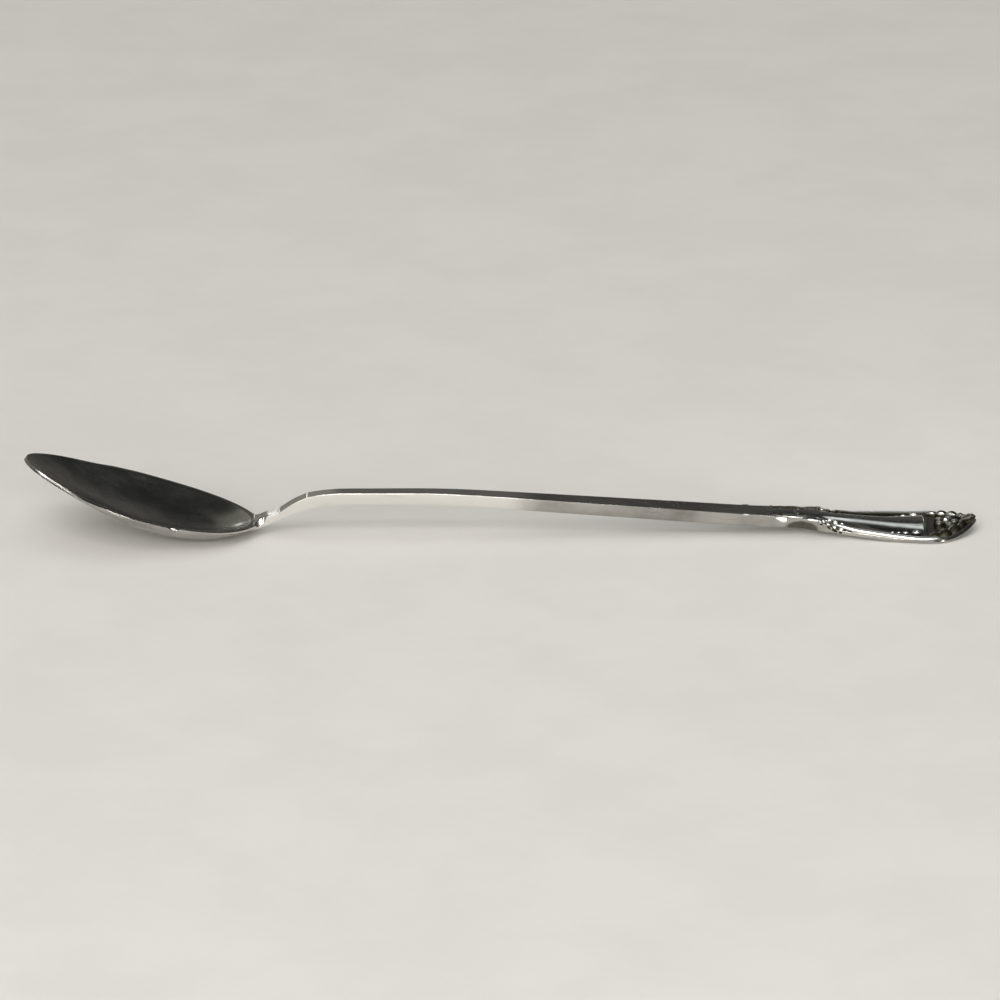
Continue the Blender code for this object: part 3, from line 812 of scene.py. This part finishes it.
    def build(self) -> None:
        """Makes the bowl: rows run from the middle below, out to the edge, and back to the middle above."""
        line = self.line
        edge = self.outline()
        inward = inward_of(edge)
        inward[0], inward[-1] = (1, 0), (0, -1)
        rows = np.array([0, 0.012, 0.03, 0.055, 0.085, 0.12, 0.16, 0.21, 0.28, 0.38, 0.5, 0.6, 0.68, 0.74])
        rows = np.concatenate([rows, [0.78, 0.82, 0.86, 0.91, 0.96, 1.0]])
        rim = edge[None] + inward[None] * rows[:, None, None]
        follow = smooth_step((edge[:, 0] - line.heel + 4.0) / 5.0)
        middle = np.stack([mix(line.bowl_widest, edge[:, 0], follow), np.zeros(len(edge))], axis=-1)
        share = (np.linspace(0, 1, 44)[1:] ** 1.25)[:, None, None]
        inner = rim[-1:] + (middle[None] - rim[-1:]) * share
        plan = np.concatenate([rim, inner])
        inset = np.concatenate([np.broadcast_to(rows[:, None], rim.shape[:2]), np.full(inner.shape[:2], FAR_IN)])
        x, y = plan[..., 0], plan[..., 1]
        lower = np.stack([x, y, self.bottom(x, y, inset)], axis=-1)
        lean = self.tip_lean * smooth_step((line.bowl_tip + 9.0 - edge[:, 0]) / 4.0) * np.maximum(1 - inset / 0.9, 0.0)
        piece = Piece("bowl_dressed")
        for side in Side:
            upper = np.stack([x, y, self.top(x, y, inset, side)], axis=-1)
            upper[..., :2] += inward * lean[..., None]
            wall = mix(lower[:1], upper[:1], np.linspace(0, 1, 4)[1:-1, None, None])
            rings = np.concatenate([lower[::-1], wall, upper]) * np.array([1, side.value, 1])
            piece.add(rings)
            piece.add(np.stack([rings[:, -1], rings[:, -1] * np.array([1, 0, 1])]))
        piece.finish(MIRROR, Slot.POLISHED, ["bowl"])


@dataclass(frozen=True)
class Stem:
    """Slim bar: neck, crank and tapering shank, with rounded long edges and a ridge that starts to grow."""

    line: SpoonLine = LINE
    front: float = -34.4
    front_joint: float = -32.45
    back_joint: float = 43.4
    back: float = 44.4
    tuck: float = 0.04  # how far the ends lie inside their neighbours
    lower_radius: float = 0.30
    draft: float = 0.15  # how much further in each side is at its top

    def section(self) -> Array:
        """Rounded rectangle, in shares of its half sizes and of its corner radius.

        Returns:
            Rows of four: the corner centre's share of the way out and up, and the cosine and sine of
            the corner's turn. A quarter, side middle to top middle, and its three mirror images.
        """
        turn = np.linspace(0, np.pi / 2, 7)
        side, flat = np.linspace(0, 1, 7)[:-1], np.linspace(1, 0, 11)[1:-1]
        rows = [np.stack([np.ones(6), side, np.ones(6), np.zeros(6)], axis=-1)]
        rows.append(np.stack([np.ones(7), np.ones(7), np.cos(turn), np.sin(turn)], axis=-1))
        rows.append(np.stack([flat, np.ones(9), np.zeros(9), np.ones(9)], axis=-1))
        quarter = np.concatenate(rows)
        top = np.array([[0.0, 1.0, 0.0, 1.0]])
        half = np.concatenate([quarter, top, (quarter * np.array([-1, 1, -1, 1]))[::-1]])
        return np.concatenate([half, (half * np.array([1, -1, 1, -1]))[::-1][1:-1]])

    def build(self) -> None:
        """Makes the bar: a rounded rectangle with leaning sides carried along its line, undercut at the waist."""
        line = self.line
        x = np.concatenate([np.linspace(self.front, -20, 180)[:-1], np.linspace(-20, self.back, 130)])[:, None]
        hidden = np.maximum((self.front_joint - x) / 0.3, (x - self.back_joint) / 0.3)
        tuck = self.tuck * smooth_step(hidden)
        clear = smooth_step((x - self.front_joint) / 3.0)
        out, up, turn_out, turn_up = self.section().T[:, None]
        high, wide = line.thickness(x) / 2, line.half_width(x)
        radius = np.where(up < 0, mix(EDGE_RADIUS, self.lower_radius, clear), EDGE_RADIUS)
        height = (up * (high - radius) + turn_up * radius) / high
        side = (out * (wide - radius) + turn_out * radius) / wide
        fluted = line.hollow_side(x, (height + 1) / 2) * np.abs(side) ** 3
        # the undercut under the scrolls gets the tarnish colour: painted shade
        recess = smooth_step(fluted / 0.45)
        lean = self.draft * clear * smooth_step((self.back_joint - 2.0 - x) / 5.0) * ((height + 1) / 2) ** 2
        y = (wide - tuck - lean) * side - np.sign(side) * line.flute * fluted
        z = line.underside(x) + high + (high - tuck) * height
        z = z + np.where(height > 0, line.ridge(x, y) * smooth_step(1 - hidden), 0.0)
        rings = np.stack([np.broadcast_to(x, y.shape), y, z], axis=-1)
        piece = Piece("stem_dressed")
        piece.add(closed_ends(rings), end_rows(recess), around=True)
        piece.finish(HANDLED, Slot.POLISHED, ["stem"])


@dataclass(frozen=True)
class Handle:
    """Flared handle plate: side wall, ledge for the border, bead channel, crown and a dished end."""

    line: SpoonLine = LINE
    front: float = 43.2
    flare_front: float = 46.0
    flare_back: float = 50.0
    ledge: float = 0.66
    channel: float = 0.60
    channel_start: float = 0.95  # edge to the channel
    crown_start: float = 1.75  # edge to the crown
    crown_top: float = 1.75
    crown_power: float = 2.4
    crown_end: float = 62.7
    crown_fade: float = 0.7
    channel_front: float = 48.5  # where the channel starts to sink below the bar's top
    channel_run: float = 8.0
    channel_rise: float = 0.45  # crown's height where the channel starts
    lower_radius: float = 0.28
    upper_radius: float = 0.05
    tip_lean: float = 0.35  # how far the side wall leans in at the tip
    lean_depth: float = 1.2  # edge to where the lean and the undercut end
    middle_back: float = 0.62  # share of the way past the widest place that the rows' middle stays back
    near_reach: float = 2.35  # edge to middle where the rows near the edge get their full spacing

    def outline(self) -> Array:
        """Half outline from the front to the tip, closer together where it rounds in."""
        line = self.line
        straight = np.linspace(self.front, self.crown_end - 1.5, 110)[:-1]
        end = np.linspace(self.crown_end - 1.5, self.crown_end + 0.3, 30)
        run = line.handle_tip - line.handle_widest
        turn = np.linspace(np.arcsin((end[-1] - line.handle_widest) / run), np.pi / 2, 80)[1:]
        tip = line.handle_widest + run * np.sin(turn)
        x = np.concatenate([straight, end, tip])
        return np.stack([x, line.half_width(x)], axis=-1)

    def relief(self, x: Array, y: Array, inset: Array) -> Array:
        """Height of the top above the underside.

        Args:
            x: Places along the spoon.
            y: Places across it.
            inset: Distance from the outline.

        Returns:
            The bar's thickness and ridge ahead of the flare; behind it the ledge, less the channel,
            plus the crown, which is a power curve across the plate and ends bluntly before the dish.
            The channel sinks slowly behind the shoulder.
        """
        line = self.line
        foot = np.maximum(line.half_width(x) - self.crown_start, 0.6)
        fade = smooth_step((self.crown_end - x) / self.crown_fade) ** 0.5
        sunk = smooth_step((x - self.channel_front) / self.channel_run)
        channel = mix(self.crown_top - self.channel_rise, self.channel, sunk)
        crown = (self.crown_top - channel) * fade * (1 - (np.abs(y) / foot) ** self.crown_power)
        floor = mix(self.ledge, channel, smooth_step((inset - self.channel_start) / 0.2))
        plate = floor + soft_ramp(crown, 0.04)
        flare = smooth_step((x - self.flare_front) / (self.flare_back - self.flare_front))
        radius = mix(EDGE_RADIUS, self.upper_radius, flare)
        bar = line.thickness(x) + line.ridge(x, y)
        return mix(bar, plate, flare) - round_off(inset, radius)

    def top(self, x: Array, y: Array) -> Array:
        """Height of the plate's top at places away from its edge."""
        return self.line.underside(x) + self.relief(x, y, self.line.half_width(x) - np.abs(y))

    def build(self) -> None:
        """Makes the plate: rows run from the middle below, out to the edge, and back to the middle above."""
        line = self.line
        edge = self.outline()
        past = np.maximum(edge[:, 0] - line.handle_widest, 0.0)
        middle = np.stack([edge[:, 0] - self.middle_back * past, np.zeros(len(edge))], axis=-1)
        reach = np.linalg.norm(middle - edge, axis=-1)
        rows = np.array([0, 0.01, 0.025, 0.045, 0.07, 0.1, 0.14, 0.19, 0.25, 0.33, 0.5, 0.7, 0.88, 0.95])
        rows = np.concatenate([rows, np.linspace(0.99, 2.1, 26)])
        near = rows[:, None] * np.minimum(1.0, reach / self.near_reach)[None]
        share = np.linspace(0, 1, 26)[1:, None]
        far = near[-1:] + (reach - near[-1]) * share
        inward = unit(middle - edge)
        plan = edge[None] + inward[None] * np.concatenate([near, far])[..., None]
        x, y = plan[..., 0], plan[..., 1]
        inset = self.inset(plan, edge)
        near_edge = np.maximum(1 - inset / self.lean_depth, 0.0)
        lean = self.tip_lean * smooth_step((edge[:, 0] - line.handle_widest) / 4.0) * near_edge
        fluted = line.hollow_side(x, 0.0) * near_edge
        upper = np.stack([x, y, line.underside(x) + self.relief(x, y, inset)], axis=-1)
        upper[..., :2] += inward * lean[..., None]
        low = line.underside(x) + round_off(inset, self.lower_radius)
        lower = np.stack([x, y - line.flute * fluted, low], axis=-1)
        share = np.linspace(0, 1, 13)[1:-1, None]
        wall = mix(lower[:1], upper[:1], share[..., None])
        sides = line.hollow_side(wall[..., 0], share)
        wall[..., 1] = mix(edge[:, 1], upper[0, :, 1], share) - line.flute * sides
        rings = np.concatenate([lower[::-1], wall, upper])
        # the undercut side walls get the tarnish colour as painted shade under the scrolls; the top gets patina in the
        # channel and dished end
        depth = np.concatenate([smooth_step(np.concatenate([fluted[::-1], sides]) / 0.45), self.recess(x, inset)])
        piece = Piece("handle_dressed")
        piece.add_both_halves(rings, depth)
        end = rings[:, 0]
        piece.add_both_halves(np.stack([end, end * np.array([1, 0, 1])]))
        piece.finish(HANDLED, Slot.POLISHED, ["handle"])

    def inset(self, plan: Array, edge: Array) -> Array:
        """Distance of each plan point from the outline and its mirror image."""
        both = np.concatenate([edge, edge * np.array([1, -1])])
        flat = plan.reshape(-1, 1, 2)
        return np.min(np.hypot(*np.moveaxis(flat - both[None], -1, 0)), axis=1).reshape(plan.shape[:2])

    def recess(self, x: Array, inset: Array) -> Array:
        """How hard the top is to polish: the channel and the dished end."""
        channel = smooth_step((inset - 0.6) / 0.4) * smooth_step((self.crown_start + 0.6 - inset) / 0.5)
        dish = smooth_step((x - self.crown_end + 0.3) / 0.4) * smooth_step((inset - 0.5) / 0.4)
        plate = smooth_step((x - self.flare_front - 2) / 2)
        return np.maximum(channel, dish) * plate


HANDLE = Handle()


@dataclass(frozen=True)
class Border:
    """Half-round wire border along an edge of the handle, with a few beads inside its back end."""

    side: Side
    line: SpoonLine = LINE
    front: float = 49.0
    back: float = 64.4
    inset: float = 0.49
    half_width: float = 0.47
    half_height: float = 0.42
    top_height: float = 1.25  # above the underside
    front_rise: float = 0.20
    rise_end: float = 52.0
    back_drop: float = 0.28
    drop_start: float = 56.0
    tilt: float = 40.0  # degrees that the section leans outwards, so that its inner flank by the channel gets the tarnish colour: patina there, and painted shade that keeps the far border dark
    bead_inset: float = 1.90
    bead_rise: float = 0.55  # share of the radius that the middle stands above the channel
    beads: tuple[tuple[float, float], ...] = ((57.5, 0.18), (58.4, 0.23), (59.4, 0.30), (61.0, 0.48))  # place, radius

    def build(self) -> None:
        """Makes the wire, rounded at its ends, and the beads."""
        line = self.line
        share = np.linspace(-1, 1, 140)
        x = mix(self.front, self.back, (share + 1) / 2)
        full = (1 - np.abs(share) ** 14) ** 0.5 * mix(0.55, 1.0, smooth_step((x - self.front) / 5))
        y = line.half_width(x) - self.inset
        rise = self.front_rise * smooth_step((self.rise_end - x) / 3)
        drop = self.back_drop * smooth_step((x - self.drop_start) / 6)
        z = line.underside(x) + self.top_height + rise - drop - self.half_height * full
        path = np.stack([x, self.side.value * y, z], axis=-1)
        piece = Piece("border_%s_dressed" % self.side.label)
        # the inner flank takes the tarnish colour: painted shade that keeps the far border dark
        tilt = -self.tilt * self.side.value
        piece.add(*swept(path, self.half_width * full, self.half_height * full, tilt=tilt), around=True)
        piece.finish(CHASED, Slot.POLISHED, ["border_%s" % self.side.label])
        self.build_beads()

    def build_beads(self) -> None:
        """Makes the beads: small long spheres sunk in the channel, larger towards the tip."""
        x, radius = np.array(self.beads).T
        y = self.line.half_width(x) - self.bead_inset
        z = HANDLE.top(x, y) + self.bead_rise * radius
        turn = np.linspace(0, 2 * np.pi, 32, endpoint=False)
        rise = np.linspace(-np.pi / 2, np.pi / 2, 17)[:, None]
        level = np.cos(rise)
        ball = np.stack([1.5 * level * np.cos(turn), level * np.sin(turn), np.sin(rise) + 0 * turn], axis=-1)
        recess = smooth_step((0.5 - np.sin(rise)) / 0.7)
        piece = Piece("beads_%s" % self.side.label)
        for place, size in zip(np.stack([x, self.side.value * y, z], axis=-1), radius):
            piece.add(place + ball * size, recess, around=True)
        piece.finish(CHASED, Slot.OXIDISED)


@dataclass(frozen=True)
class LeafForm:
    """Form of a lobed leaf."""

    half_width: float
    height: float
    lobes: float = 2.0
    peak: float = 0.0  # where it is highest: -1 at its inner edge, 1 at its outer edge
    power: float = 0.55  # 0.5 for a round arch, more for gentle flanks
    drape: float = 0.0  # how far the outer edge hangs down over the handle's side
    growth: float = 0.0  # how much higher it gets towards its point
    shade: float = 0.0  # how much painted shade, in the tarnish colour, its outer flank gets


def leaf_grid(middle: Array, form: LeafForm, side: Side) -> tuple[Array, Array]:
    """Lobed leaf that lies on the handle.

    Args:
        middle: Points (x, y) of its midrib, stem end first, on the right-hand side.
        form: Its form.
        side: The half that it lies on.

    Returns:
        A closed grid: the width follows a sine with a ripple for the lobes, the top is an arch with
        a groove along its highest line and a swelling in each lobe, and the underside is sunk in the
        plate. And how much of the tarnish colour each point gets: the grooves and the foot, which are
        hard to polish, and painted shade on the outer flank, by the form's shade.
    """
    share = np.linspace(0, 1, len(middle))[:, None]
    across = np.sin(np.linspace(-np.pi / 2, np.pi / 2, 41))[None]
    ripple = np.abs(np.sin(np.pi * form.lobes * share**0.9))
    full = np.sin(np.pi * np.clip(share, 0.004, 0.996) ** 0.85) ** 0.75
    wide = form.half_width * full * (0.72 + 0.28 * ripple)
    plan = middle[:, None] - inward_of(middle)[:, None] * (wide * across)[..., None]
    aside = (across - form.peak) / np.where(across < form.peak, 1 + form.peak, 1 - form.peak)
    groove = 0.22 * np.exp(-((aside / 0.16) ** 2))
    arch = np.maximum(1 - aside**2, 0.0) ** form.power
    swell = (0.58 + 0.42 * ripple) * (arch - groove)
    x, y = plan[..., 0], plan[..., 1]
    seat = HANDLE.top(x, np.minimum(np.abs(y), LINE.half_width(x) - 0.3)) - 0.15
    seat = seat - form.drape * full * np.maximum(across, 0.0) ** 2
    top = seat + 0.15 * arch + form.height * (1 + form.growth * share**3) * full**0.6 * swell
    upper = np.stack([x, side.value * y, np.maximum(top, seat)], axis=-1)
    lower = np.stack([x, side.value * y, seat], axis=-1)[:, ::-1]
    loop = np.concatenate([upper, lower[:, 1:-1]], axis=1)
    upper_patina_and_shade = np.maximum(smooth_step((0.78 - swell) / 0.4), 3.0 * groove * (1 - ripple))
    # painted shade on the outer flank, in the tarnish colour
    upper_patina_and_shade = np.maximum(upper_patina_and_shade, form.shade * smooth_step((aside + 0.15) / 0.3))
    recess = np.concatenate([upper_patina_and_shade, np.ones_like(lower[:, 1:-1, 0])], axis=1)
    return closed_ends(loop), end_rows(recess)


@dataclass(frozen=True)
class Scroll:
    """C-scroll at the shoulder with a broad lip at its front bend, a drop ahead, and a bar, collar and leaf behind."""

    side: Side
    line: SpoonLine = LINE
    front: float = 40.0
    back: float = 44.8
    front_depth: float = 0.8  # across the spoon
    back_depth: float = 1.5
    turn: float = 4.6  # radians that each end curls
    tightness: float = 2.1
    wire: float = 0.18
    lip_front: float = 39.6
    lip_back: float = 42.0
    lip_wide: float = 0.60  # half width of the lip's broad end
    lip_high: float = 0.13
    tilt: float = 56.0  # degrees that the sections lean outwards
    bulb: float = 0.10  # added at the curled ends
    inset: float = 0.28
    drop: float = 36.0
    bar_front: float = 45.0
    bar_back: float = 46.6
    collar: float = 46.9
    tail_front: float = 46.9
    tail_back: float = 51.6
    tail: LeafForm = LeafForm(0.80, 0.55, 5.0, drape=0.30)

    def path(self) -> tuple[Array, Array]:
        """Middle line of the scroll in plan.

        Returns:
            The share along it from -1 to 1, and points (x, y): the sum of steps whose heading turns
            ever faster towards both ends.
        """
        share = np.linspace(-1, 1, 160)
        heading = -self.turn * np.sign(share) * np.abs(share) ** self.tightness
        plan = np.cumsum(np.stack([np.cos(heading), np.sin(heading)], axis=-1), axis=0)
        low, high = plan.min(axis=0), plan.max(axis=0)
        plan = (plan - high) / (high - low)
        x = mix(self.back, self.front, -plan[:, 0])
        depth = mix(self.front_depth, self.back_depth, smooth_step((share + 1) / 2))
        y = self.line.plain_half_width(x) - self.inset + plan[:, 1] * depth
        return share, np.stack([x, y], axis=-1)

    def build(self) -> None:
        """Makes the scroll's wire, the lip that hangs from its front bend, and the small pieces about it."""
        share, plan = self.path()
        radius = self.wire + self.bulb * bell(np.abs(share), 0.93, 0.07)
        piece = Piece("scroll_%s_dressed" % self.side.label)
        dull = mix(1.2, 0.1, smooth_step((np.linspace(-1, 1, len(share) + 2)[:, None] + 0.1) / 0.5))
        self.add_wire(piece, plan[:, 0], plan[:, 1], -0.02, radius, foot=dull)
        edge = self.line.plain_half_width
        run = np.linspace(-1, 1, 40)
        lip = mix(self.lip_front, self.lip_back, (run + 1) / 2)
        wide = mix(self.lip_high, self.lip_wide, smooth_step((run + 0.6) / 1.2))
        hang = -0.34 * smooth_step((run + 1) / 0.9)
        self.add_wire(piece, lip, edge(lip) - 0.06, hang, np.full(40, self.lip_high), wide)
        drop = self.drop + 0.45 * run
        self.add_wire(piece, drop, edge(drop) - 0.12, -0.05, np.full(40, 0.16))
        bar = mix(self.bar_front, self.bar_back, (run + 1) / 2)
        self.add_wire(piece, bar, edge(bar) - 0.15, -0.10, np.full(40, 0.22))
        over = np.clip((run + 0.2) / 1.2, 0.0, 1.0)
        collar = self.collar + 0.2 * run + 0.12 * np.sin(7 * run)
        across = edge(collar) - 0.9 + np.minimum(0.9 * (run + 1), 0.95)
        self.add_wire(piece, collar, across, 0.04 - 0.9 * over, np.full(40, 0.16))
        x = np.linspace(self.tail_front, self.tail_back, 60)
        middle = np.stack([x, edge(x) - 0.62], axis=-1)
        piece.add(*leaf_grid(middle, self.tail, self.side), around=True)
        piece.finish(CHASED, Slot.OXIDISED, ["scroll_%s" % self.side.label])

    def add_wire(
        self, piece: Piece, x: Array, y: Array, rise: Number, radius: Array,
        wide: Union[Array, None] = None, foot: Number = 0.1,
    ) -> None:
        """Adds a wire with rounded ends.

        Args:
            piece: The piece that takes it.
            x: Places of its middle line along the spoon.
            y: Places across it, on the right-hand side.
            rise: Heights above the bar's top.
            radius: Radius at each place.
            wide: Half width at each place where the wire isn't round; its section then leans outwards.
            foot: Share of the section, from its inner side, that is hard to polish.
        """
        share = np.linspace(-1, 1, len(x))
        end = np.sqrt(np.clip((1 - np.abs(share)) / 0.05, 0.0, 1.0))
        path = np.stack([x, self.side.value * y, self.line.bar_top(x) + rise], axis=-1)
        tilt = -self.tilt * self.side.value
        piece.add(*swept(path, (radius if wide is None else wide) * end, radius * end, 24, foot, tilt), around=True)


@dataclass(frozen=True)
class Leaf:
    """Lobed leaf beside the handle's tip."""

    side: Side
    line: SpoonLine = LINE
    front: float = 62.6
    inset: float = 1.30
    # the outer flank gets painted shade in the tarnish colour
    form: LeafForm = LeafForm(1.05, 0.98, 4.0, peak=-0.45, power=0.9, growth=0.8, shade=0.9)

    def build(self) -> None:
        """Makes the leaf along the outline, a fixed distance inside it."""
        edge = HANDLE.outline()
        inner = edge + inward_of(edge) * self.inset
        inner = inner[(inner[:, 1] > 0.7) & (edge[:, 0] > self.front)]
        length = np.concatenate([[0.0], np.cumsum(np.linalg.norm(np.diff(inner, axis=0), axis=-1))])
        even = np.linspace(0, length[-1], 70)
        middle = np.stack([np.interp(even, length, inner[:, i]) for i in range(2)], axis=-1)
        piece = Piece("leaf_%s_dressed" % self.side.label)
        piece.add(*leaf_grid(middle, self.form, self.side), around=True)
        piece.finish(CHASED, Slot.OXIDISED, ["leaf_%s" % self.side.label])


@dataclass(frozen=True)
class Rosette:
    """Flower with rounded petals about a boss, pegged into the handle."""

    line: SpoonLine = LINE
    place: float = 65.5
    radius: float = 2.0
    height: float = 1.35
    petals: int = 5

    def build(self) -> None:
        """Makes the flower as a height over polar coordinates.

        Each petal is a rounded lobe, half an ellipsoid, and so is the boss: the height is that of the
        highest of them. The outline draws in between petals.
        """
        turn = np.linspace(0, 2 * np.pi, 180, endpoint=False)[None]
        share = np.sin(np.linspace(0, np.pi / 2, 60))[:, None]
        sector = 2 * np.pi / self.petals
        aside = np.mod(turn + sector / 2, sector) - sector / 2
        along, across = share * np.cos(aside), share * np.sin(aside)
        petal = np.sqrt(np.maximum(1 - ((along - 0.62) / 0.38) ** 2 - (across / 0.38) ** 2, 0.0))
        boss = np.sqrt(np.maximum(1 - (share / 0.30) ** 2, 0.0))
        rise = (0.16 + np.maximum(0.62 * petal, 0.84 * boss)) * smooth_step((1 - share) / 0.06)
        reach = self.radius * (0.86 + 0.14 * np.cos(aside * np.pi / sector))
        x = self.place + reach * share * np.cos(turn)
        y = reach * share * np.sin(turn)
        seat = float(self.line.underside(np.array(self.place))) + HANDLE.channel - 0.1
        upper = np.stack([x, y, seat + 0.1 + self.height * rise], axis=-1)
        lower = np.stack([x[-1:], y[-1:], np.full_like(x[-1:], seat)], axis=-1)
        middle = np.broadcast_to(np.array([self.place, 0.0, seat]), lower.shape)
        depth = np.concatenate([smooth_step((0.85 - rise) / 0.4), np.ones((2, rise.shape[1]))])
        piece = Piece("rosette_dressed")
        piece.add(np.concatenate([upper, lower, middle]), depth, around=True)
        piece.finish(CHASED, Slot.OXIDISED, ["rosette"])


@dataclass(frozen=True)
class Bud:
    """Pointed bud at the very tip, grooved between its sepals."""

    line: SpoonLine = LINE
    front: float = 67.3
    back: float = 69.9
    half_width: float = 0.95
    half_height: float = 0.80
    middle_height: float = 0.85
    grooves: int = 5

    def build(self) -> None:
        """Makes the bud: a pointed oval along X whose round section is drawn in at each groove."""
        share = np.linspace(0.004, 0.996, 60)[:, None]
        turn = np.linspace(0, 2 * np.pi, 90, endpoint=False)[None]
        full = np.sin(np.pi * share**1.15) ** 0.7
        groove = np.abs(np.sin(self.grooves * turn / 2)) ** 6
        draw = full * (1 - 0.18 * groove)
        x = mix(self.front, self.back, share) + 0 * turn
        z = self.line.underside(x) + self.middle_height + self.half_height * draw * np.sin(turn)
        rings = np.stack([x, self.half_width * draw * np.cos(turn), z], axis=-1)
        recess = np.broadcast_to(np.maximum(groove, smooth_step((0.92 - np.sin(turn)) / 0.5)), x.shape)
        piece = Piece("bud_dressed")
        piece.add(closed_ends(rings), end_rows(recess), around=True)
        piece.finish(CHASED, Slot.OXIDISED, ["bud"])


class Seen(Enum):
    """Surfaces that a lamp shows on."""

    ALL = "all"
    MATT = "matt"
    GLOSS = "gloss"


@dataclass(frozen=True)
class Lamp:
    """Soft rectangular lamp that faces a point on the table."""

    name: str
    seen_in: Seen
    place: tuple[float, float, float]
    size: tuple[float, float]
    radiance: float
    colour: Colour = (1.0, 1.0, 1.0)
    target: tuple[float, float, float] = (0.0, 0.0, 0.005)
    spread: float = 180.0  # degrees that its light fans out

    def build(self) -> None:
        """Adds the lamp, with the power that gives its face the radiance."""
        data = bpy.data.lights.new(self.name, "AREA")
        data.shape = "RECTANGLE"
        data.size, data.size_y = self.size
        data.spread = math.radians(self.spread)
        half = math.radians(self.spread / 2)
        focus = 1.0 if self.spread > 179 else 1 - half / math.tan(half)
        data.energy = self.radiance * math.pi * self.size[0] * self.size[1] * focus
        data.color = self.colour
        lamp = new_object(self.name, data)
        lamp.visible_glossy = self.seen_in is not Seen.MATT
        lamp.visible_diffuse = self.seen_in is not Seen.GLOSS
        lamp.location = self.place
        lamp.rotation_euler = (Vector(self.target) - Vector(self.place)).to_track_quat("-Z", "Y").to_euler()


@dataclass(frozen=True)
class Studio:
    """Pale floor, dim surroundings, soft lamps and the camera."""

    floor_size: float = 6.0
    surround: Colour = (0.038, 0.041, 0.040)
    low_wall: Colour = (0.10, 0.098, 0.092)
    left_wall: Colour = (0.20, 0.20, 0.18)
    elevation: float = 21.0
    roll: float = -0.30
    distance: float = 1.0
    focal_length: float = 244.6
    target: tuple[float, float, float] = (-0.00018, 0.0, 0.0051)
    lamps: tuple[Lamp, ...] = (
        Lamp("key", Seen.MATT, (-0.30, -0.92, 1.0), (0.80, 0.80), 3.4, (1.0, 0.975, 0.94)),
        Lamp("fill", Seen.MATT, (0.0, 0.0, 1.5), (2.4, 2.4), 0.70, (1.0, 0.985, 0.96)),
        Lamp("low", Seen.MATT, (-0.1, -1.3, 0.45), (2.4, 0.7), 3.4, (1.0, 0.98, 0.95)),
        Lamp("glint", Seen.GLOSS, (-0.10, -0.967, 1.007), (0.34, 0.36), 28.0, (1.0, 0.985, 0.96)),
        Lamp("right", Seen.GLOSS, (0.59, -0.73, 0.90), (0.18, 0.18), 20.0, (1.0, 0.985, 0.96)),
        Lamp("front_card", Seen.GLOSS, (-0.375, -1.0, 0.21), (0.95, 0.42), 0.95, (1.0, 0.98, 0.95)),
        Lamp("back", Seen.GLOSS, (-0.248, 0.934, 0.291), (0.06, 0.07), 2.4),
        Lamp("left", Seen.GLOSS, (-0.711, -0.354, 0.534), (0.16, 0.14), 9.0),
        Lamp("left_front", Seen.GLOSS, (-0.535, -0.510, 0.589), (0.08, 0.14), 9.0),
        Lamp("cool", Seen.ALL, (0.078, 0.077, 0.127), (0.055, 0.06), 1.8, (0.90, 0.97, 1.0), (0.056, 0.0, 0.0), 44.0),
    )

    def build(self) -> None:
        """Makes the floor, the surroundings, the lamps and the camera."""
        self.build_floor()
        self.build_surround()
        for lamp in self.lamps:
            lamp.build()
        self.build_camera()

    def build_floor(self) -> None:
        """Makes the flat floor, as a grid."""
        mesh = bpy.data.meshes.new("floor")
        half = self.floor_size / 2
        x, y = np.meshgrid(np.linspace(-half, half, 9), np.linspace(-half, half, 9))
        index = np.arange(81).reshape(9, 9)
        quads = np.stack([index[:-1, :-1], index[:-1, 1:], index[1:, 1:], index[1:, :-1]], axis=-1)
        points = np.stack([x, y, np.zeros_like(x)], axis=-1).reshape(-1, 3)
        mesh.from_pydata(points, [], quads.reshape(-1, 4))
        mesh.materials.append(MATERIALS.get(PaleFloor()))
        floor = new_object("floor", mesh)

    def build_surround(self) -> None:
        """Sets the dim surroundings, lighter towards the horizon and on the left below the ceiling."""
        world = bpy.data.worlds.new("studio")
        world.use_nodes = True
        nodes = Nodes(world.node_tree)
        direction = nodes.make("ShaderNodeTexCoord", {}, {}).outputs["Generated"]
        parts = nodes.make("ShaderNodeSeparateXYZ", {}, {0: direction})
        across, rise = Value(nodes, parts.outputs[0]), Value(nodes, parts.outputs[2])
        colour = nodes.blend(opaque(self.surround), opaque(self.low_wall), rise.between(0.54, 0.40))
        left = across.between(-0.03, -0.09) * rise.between(0.90, 0.76)
        colour = nodes.blend(colour, opaque(self.left_wall), left)
        nodes.feed(world.node_tree.nodes["Background"].inputs["Color"], colour)
        bpy.context.scene.world = world

    def build_camera(self) -> None:
        """Places the camera in front of the spoon, looking down at it."""
        data = bpy.data.cameras.new("camera")
        data.lens = self.focal_length
        data.clip_start = 0.01
        camera = new_object("camera", data)
        rise = math.radians(self.elevation)
        back = Vector((0.0, -math.cos(rise), math.sin(rise)))
        camera.location = Vector(self.target) + back * self.distance
        camera.rotation_euler = (-back).to_track_quat("-Z", "Y").to_euler()
        camera.rotation_euler.rotate_axis("Z", math.radians(self.roll))
        bpy.context.scene.camera = camera


def main() -> None:
    """Builds the pieces in order, then the studio."""
    logging.basicConfig(level=logging.INFO, format="%(name)s: %(message)s")
    bpy.context.scene.view_settings.view_transform = "Standard"
    Bowl().build()
    Stem().build()
    HANDLE.build()
    for side in Side:
        Border(side).build()
        Scroll(side).build()
        Leaf(side).build()
    Rosette().build()
    Bud().build()
    Studio().build()


if __name__ == "__main__":
    main()
